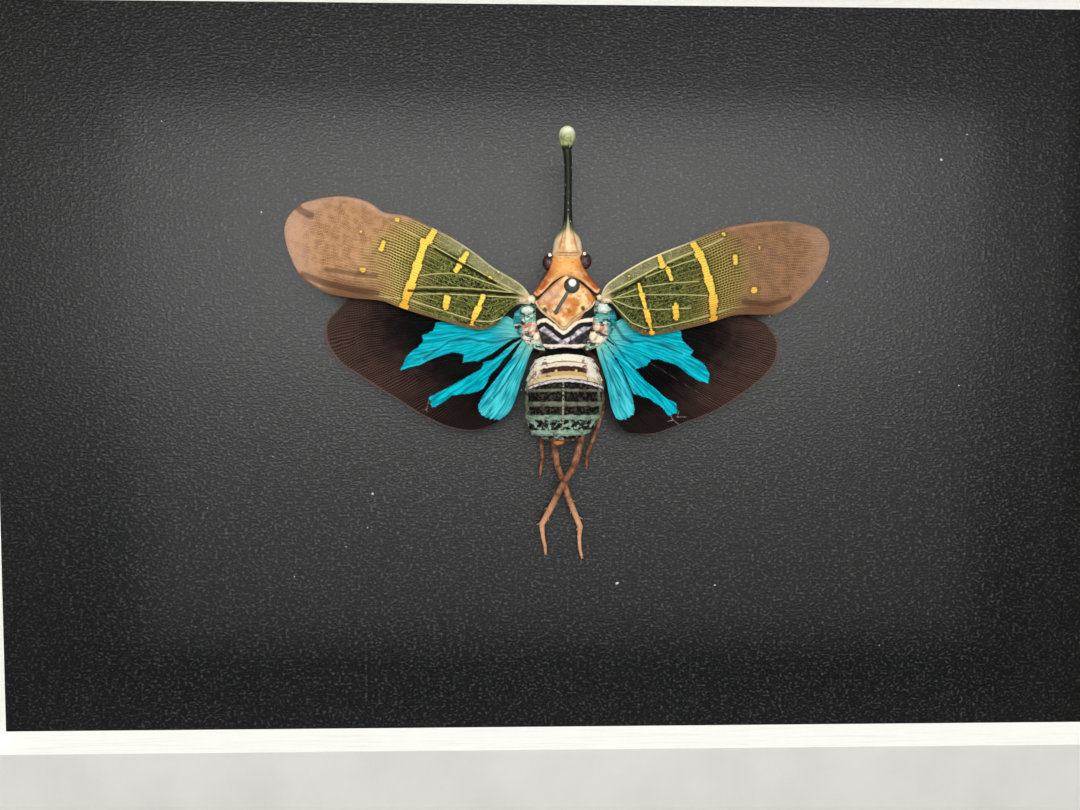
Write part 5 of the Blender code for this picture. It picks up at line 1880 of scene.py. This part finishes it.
    def hindwings(self) -> tuple[Hindwing, Hindwing]:
        """The left and the right hindwing."""
        left = WingShape(
            front=((-4.5, 5.6), (-10.0, 8.6), (-16.0, 10.4), (-22.0, 11.6), (-26.5, 11.6), (-29.9, 10.4)),
            outer=((-31.9, 8.4), (-33.3, 6.5), (-33.2, 4.0), (-31.5, 1.3), (-28.4, -0.8), (-24.2, -3.5), (-20.0, -6.1), (-16.2, -7.8), (-12.6, -8.2)),
            rear=((-4.3, 3.7), (-5.0, 2.2), (-5.7, 0.1), (-6.4, -2.0), (-7.1, -4.2), (-8.0, -5.8), (-9.6, -7.1)),
            heights=(7.4, 6.2, 5.0),
            camber=0.3,
            rows=190,
            columns=178,
        )
        right = WingShape(
            front=((4.2, 5.4), (9.5, 8.2), (14.5, 9.4), (19.0, 9.2), (22.5, 8.2), (25.4, 7.8), (27.2, 7.3)),
            outer=((28.6, 6.4), (29.8, 4.6), (30.0, 2.4), (28.9, 0.2), (26.1, -2.4), (21.5, -5.4), (16.9, -7.2), (12.7, -8.7)),
            rear=((4.1, 3.6), (4.5, 2.0), (5.1, 0.4), (5.7, -1.6), (6.1, -3.5), (6.6, -5.4), (7.8, -7.6), (9.4, -8.7)),
            heights=(7.4, 6.2, 5.0),
            camber=0.3,
            rows=190,
            columns=178,
        )
        left_lobes = (
            ((-5.0, 8.4), (-9.2, 7.4), (-15.1, 7.2), (-17.9, 6.7), (-18.2, 5.7), (-19.8, 5.0), (-19.6, 4.0), (-21.1, 3.0), (-22.4, 1.5), (-22.9, 0.2), (-20.4, 0.9), (-18.0, 2.1), (-15.6, 2.7), (-14.0, 2.5), (-14.2, 1.3), (-12.1, 1.5), (-9.9, 2.7), (-7.5, 4.4), (-5.0, 5.2)),
            ((-5.0, 5.3), (-7.5, 3.7), (-9.9, 1.7), (-11.3, 1.3), (-11.7, 0.3), (-14.0, -0.8), (-15.9, -2.0), (-19.0, -3.6), (-18.6, -5.0), (-17.3, -4.4), (-15.7, -3.2), (-13.5, -3.0), (-11.4, -2.3), (-10.2, -0.1), (-8.5, 1.8), (-6.6, 3.9)),
            ((-5.9, 4.4), (-7.5, 1.8), (-9.2, -0.4), (-11.1, -2.7), (-12.2, -4.5), (-12.0, -5.5), (-11.1, -6.4), (-9.2, -6.6), (-7.0, -5.4), (-6.0, -3.0), (-4.6, 0.8), (-3.8, 3.7)),
        )
        right_lobes = (
            ((4.0, 8.0), (9.3, 7.0), (13.7, 7.0), (15.8, 5.7), (16.2, 4.3), (17.7, 3.0), (17.4, 2.4), (19.3, 1.1), (20.1, -0.3), (20.1, -1.7), (18.4, -1.1), (17.0, -0.3), (15.2, 1.1), (13.3, 1.7), (11.9, 1.8), (11.2, 0.9), (9.6, 0.4), (8.0, 1.8), (6.8, 3.6), (4.6, 5.6)),
            ((4.6, 5.0), (7.3, 3.1), (8.7, 1.2), (10.1, -0.1), (11.0, -1.2), (12.6, -2.4), (13.8, -3.5), (15.4, -4.4), (15.7, -5.8), (14.5, -6.1), (13.1, -4.7), (11.7, -3.6), (10.6, -3.5), (9.4, -2.8), (8.3, -0.5), (7.1, 1.8)),
            ((3.6, 4.2), (5.5, 3.8), (6.8, 1.8), (8.0, -0.3), (9.1, -2.6), (9.6, -4.7), (9.5, -6.0), (8.5, -6.6), (6.6, -6.5), (5.6, -4.0), (4.6, -0.1), (3.9, 1.8)),
        )
        left_creases = (
            Mark(((-6.6, 4.7), (-9.9, 4.0), (-13.9, 4.6), (-16.0, 4.2), (-18.0, 2.9), (-19.6, 1.8)), 0.0),
            Mark(((-6.3, 4.5), (-8.0, 3.65), (-9.9, 2.45)), 0.05),
            Mark(((-5.4, 3.7), (-6.6, 1.3), (-8.0, -1.1), (-9.9, -3.5)), 0.0),
        )
        right_creases = (
            Mark(((5.4, 7.7), (6.8, 6.3), (7.9, 4.7), (9.1, 4.1)), 0.12),
            Mark(((9.1, 4.1), (11.1, 4.3), (13.7, 3.6), (16.2, 2.5)), 0.0),
            Mark(((5.5, 5.4), (6.8, 3.8), (8.2, 1.8), (9.5, 0.6)), 0.0),
            Mark(((4.9, 3.1), (6.1, -0.3), (7.5, -3.3)), 0.0),
        )
        left_scratches = (
            Mark(((-18.7, -3.2), (-19.1, -4.2), (-19.3, -5.6)), 0.0),
            Mark(((-19.1, -4.2), (-18.0, -4.9)), 0.0),
            Mark(((-19.2, -5.0), (-19.9, -5.4)), 0.0),
        )
        right_scratches = (
            Mark(((14.5, -5.8), (15.2, -6.75), (16.0, -7.4)), 0.0),
            Mark(((15.9, -5.5), (15.7, -6.3), (17.0, -6.3)), 0.0),
            Mark(((15.2, -6.7), (14.4, -6.9)), 0.0),
            Mark(((11.7, 1.2), (14.9, -0.6), (17.7, -2.4), (20.5, -3.8)), -0.05),
        )
        return (
            Hindwing("left_hindwing", left, left_lobes, HindwingMembrane("left_hindwing_membrane"), left_creases, left_scratches),
            Hindwing(
                "right_hindwing", right, right_lobes, HindwingMembrane("right_hindwing_membrane"), right_creases, right_scratches, seed=4
            ),
        )

    def legs(self) -> tuple[Leg, ...]:
        """The six legs, each from its root under the thorax to its foot."""
        return (
            Leg(
                "hind_leg_right",
                ((2.0, 2.2, 3.3, 0.45), (2.5, -5.5, 3.3, 0.4), (2.4, -8.6, 4.0, 0.45), (2.2, -10.0, 4.7, 0.5), (1.3, -13.3, 4.7, 0.46), (0.0, -15.4, 4.3, 0.44), (-0.9, -17.3, 3.5, 0.44), (-2.1, -19.9, 2.6, 0.46), (-3.2, -22.1, 1.8, 0.4), (-3.0, -24.1, 1.3, 0.28), (-2.7, -25.4, 1.0, 0.26), (-2.6, -26.5, 0.8, 0.2)),
                spines=6,
                spine_from=5,
            ),
            Leg(
                "hind_leg_left",
                ((-1.5, 2.2, 3.3, 0.45), (-1.7, -5.5, 3.3, 0.4), (-1.4, -10.7, 3.6, 0.46), (-1.0, -13.4, 2.9, 0.44), (-0.2, -15.5, 2.5, 0.44), (0.6, -17.9, 2.2, 0.44), (1.4, -20.0, 1.8, 0.44), (2.4, -22.5, 1.4, 0.4), (2.3, -24.1, 1.0, 0.28), (2.4, -25.8, 0.8, 0.26), (2.7, -27.1, 0.7, 0.2)),
                spines=6,
                spine_from=4,
            ),
            Leg("middle_leg_left", ((-1.9, 4.6, 3.4, 0.4), (-4.6, 0.5, 2.6, 0.4), (-4.2, -4.0, 2.4, 0.32), (-3.3, -9.6, 2.3, 0.3), (-3.1, -12.6, 1.8, 0.26), (-3.5, -15.3, 1.0, 0.18))),
            Leg("middle_leg_right", ((1.9, 4.6, 3.4, 0.4), (5.4, 0.5, 2.8, 0.4), (5.5, -5.4, 3.0, 0.3), (4.7, -8.1, 2.8, 0.3), (3.9, -10.3, 2.4, 0.28), (3.3, -12.0, 2.0, 0.26), (3.3, -13.8, 1.4, 0.18))),
            Leg("front_leg_left", ((-1.3, 10.4, 3.4, 0.4), (-2.4, 11.6, 2.4, 0.34), (-2.0, 8.6, 1.6, 0.28), (-1.2, 5.4, 1.0, 0.2))),
            Leg("front_leg_right", ((1.3, 10.4, 3.4, 0.4), (2.4, 11.6, 2.4, 0.34), (2.0, 8.6, 1.6, 0.28), (1.4, 5.4, 1.0, 0.2))),
        )

    def build(self) -> list[bpy.types.Object]:
        """Builds every part of the insect.

        Returns:
            The pieces.
        """
        parts = (self.head, self.thorax, self.abdomen, *self.forewings(), *self.hindwings(), *self.legs(), self.pin)
        return [part.build() for part in parts]


@dataclass(frozen=True)
class BoxFrame:
    """The frame, whose solids stay as they are and get their finishes."""

    level_rails: tuple[str, ...] = ("rail_top", "rail_bottom")
    upright_rails: tuple[str, ...] = ("rail_left", "rail_right")
    spacers: tuple[str, ...] = ("spacer_top", "spacer_bottom", "spacer_left", "spacer_right")
    bumpers: tuple[str, ...] = ("wall_bumper_left", "wall_bumper_right")
    points: int = 6

    def steel_parts(self) -> tuple[str, ...]:
        """The names of the small steel parts."""
        numbered = tuple(f"framer_point_{number + 1}" for number in range(self.points))
        return (*numbered, "sawtooth_hanger", "hanger_nail_left", "hanger_nail_right")

    def dress(self) -> list[str]:
        """Gives each solid its finish.

        Returns:
            The names of the dressed solids.
        """
        finishes = (
            (self.level_rails, Walnut(Grain.LEVEL)),
            (self.upright_rails, Walnut(Grain.UPRIGHT)),
            (("glazing_pane",), ClearPane()),
            (("window_mat",), MatCard()),
            (self.spacers, FoamBoard()),
            (("pinning_board",), BlackCard()),
            (("back_panel",), Hardboard()),
            (self.steel_parts(), ZincSteel()),
            (self.bumpers, Rubber()),
        )
        dressed = []
        for names, finish in finishes:
            material = finish.material()
            for name in names:
                solid = bpy.data.objects[name]
                for index in range(max(1, len(solid.material_slots))):
                    if solid.material_slots:
                        solid.material_slots[index].material = material
                    else:
                        solid.data.materials.append(material)
                dressed.append(name)
        pane = bpy.data.objects["glazing_pane"]
        pane.visible_diffuse = pane.visible_glossy = pane.visible_shadow = False
        return dressed


@dataclass(frozen=True)
class Studio:
    """A pale floor, soft light from above the front, and the camera at the photograph's place."""

    floor_size: float = 1.6  # metres
    world_grey: float = 0.10
    image_width: int = 1080
    focal_pixels: float = 811.0
    sensor: float = 36.0
    camera_right: float = -5.92  # from the middle of the window
    camera_down: float = 0.10
    camera_back: float = 99.97  # in front of the mat's back
    pitch: float = 2.28  # degrees
    yaw: float = -1.21
    roll: float = 0.01

    def floor(self) -> None:
        """A plain pale floor."""
        half = self.floor_size / 2
        mesh = bpy.data.meshes.new("floor")
        mesh.from_pydata([(-half, -half, 0), (half, -half, 0), (half, half, 0), (-half, half, 0)], [], [(0, 1, 2, 3)])
        shader = Shader("floor_paint")
        mesh.materials.append(shader.finish(tone(216, 216, 214), 0.7))
        made = bpy.data.objects.new("floor", mesh)
        bpy.context.collection.objects.link(made)

    def lamp(
        self, name: str, place: Colour, size: tuple[float, float], power: float, aim: Colour, colour: Colour
    ) -> bpy.types.Object:
        """Adds a soft rectangular lamp.

        Args:
            name: Its name.
            place: Where it stands, in metres.
            size: Its width and height, in metres.
            power: Its power in watts.
            aim: The point that it faces, in metres.
            colour: The colour of its light.

        Returns:
            The lamp.
        """
        data = bpy.data.lights.new(name, "AREA")
        data.shape = "RECTANGLE"
        data.size, data.size_y = size
        data.energy = power
        data.color = colour
        made = bpy.data.objects.new(name, data)
        made.location = place
        made.rotation_euler = (Vector(aim) - Vector(place)).to_track_quat("-Z", "Y").to_euler()
        bpy.context.collection.objects.link(made)
        return made

    def cast_from(self, made: bpy.types.Object, pieces: list[bpy.types.Object]) -> None:
        """Lets a lamp cast the shadows of some pieces only, all of them through shadow rays.

        Args:
            made: The lamp.
            pieces: What blocks its light.
        """
        blockers = bpy.data.collections.new(made.name + "_shadows")
        for piece in pieces:
            blockers.objects.link(piece)
        made.light_linking.blocker_collection = blockers
        made.data.cycles.use_multiple_importance_sampling = False

    def lights(self, insect: list[bpy.types.Object], solids: list[bpy.types.Object]) -> None:
        """A low key light whose sheen reaches the window's edges, a higher one and a weak fill behind.

        The mat, the spacers and the left rail don't shade the key light.

        Args:
            insect: The insect's pieces.
            solids: The frame's solids.
        """
        middle = (0.0, 0.0, WINDOW_Z)
        warm = (1.0, 0.995, 0.985)
        opaque = [solid for solid in solids if solid.name != "glazing_pane"]
        see_past = ("window_mat", "spacer", "rail_left")
        open_front = [solid for solid in opaque if not solid.name.startswith(see_past)]
        key = self.lamp("key", (-0.01, -0.47, 0.15), (0.62, 0.15), 1.85, middle, warm)
        self.cast_from(key, insect + open_front)
        overhead = self.lamp("overhead", (0.02, -0.45, 0.31), (0.6, 0.26), 1.3, middle, warm)
        self.cast_from(overhead, insect + opaque)
        self.lamp("fill_back", (-0.35, 0.80, 0.70), (0.6, 0.6), 6.0, middle, (1.0, 1.0, 1.0))
        world = bpy.data.worlds.new("studio")
        world.use_nodes = True
        world.node_tree.nodes["Background"].inputs[0].default_value = (self.world_grey,) * 3 + (1.0,)
        bpy.context.scene.world = world

    def camera(self) -> None:
        """The camera, turned by its pitch, yaw and roll from facing the board squarely."""
        p, y, r = (math.radians(angle) for angle in (self.pitch, self.yaw, self.roll))
        about_x = Matrix(((1, 0, 0), (0, math.cos(p), -math.sin(p)), (0, math.sin(p), math.cos(p))))
        about_y = Matrix(((math.cos(y), 0, math.sin(y)), (0, 1, 0), (-math.sin(y), 0, math.cos(y))))
        about_z = Matrix(((math.cos(r), -math.sin(r), 0), (math.sin(r), math.cos(r), 0), (0, 0, 1)))
        turn = about_z @ about_x @ about_y
        right, down, ahead = (Vector((row[0], row[2], -row[1])) for row in turn)
        pose = Matrix.Identity(4)
        for axis in range(3):
            pose[axis][0], pose[axis][1], pose[axis][2] = right[axis], -down[axis], -ahead[axis]
        pose.translation = (
            self.camera_right * MM,
            MAT_BACK_Y - self.camera_back * MM,
            WINDOW_Z - self.camera_down * MM,
        )
        data = bpy.data.cameras.new("camera")
        data.sensor_width = self.sensor
        data.lens = self.focal_pixels * self.sensor / self.image_width
        data.clip_start = 0.001
        made = bpy.data.objects.new("camera", data)
        made.matrix_world = pose
        bpy.context.collection.objects.link(made)
        bpy.context.scene.camera = made

    def build(self, insect: list[bpy.types.Object], solids: list[bpy.types.Object]) -> None:
        """Sets up the whole studio around the insect's pieces and the frame's solids."""
        self.floor()
        self.lights(insect, solids)
        self.camera()
        bpy.context.scene.view_settings.view_transform = "Standard"


def main() -> None:
    """Builds the studio, dresses the frame and builds the insect."""
    logging.basicConfig(level=logging.INFO, format="%(message)s")
    dressed = BoxFrame().dress()
    log.info("dressed %s", ", ".join(dressed))
    insect = Insect().build()
    for piece in [*insect, Lint().build()]:
        log.info("built %s, %d faces", piece.name, len(piece.data.polygons))
    Studio().build(insect, [bpy.data.objects[name] for name in dressed])


if __name__ == "__main__":
    main()
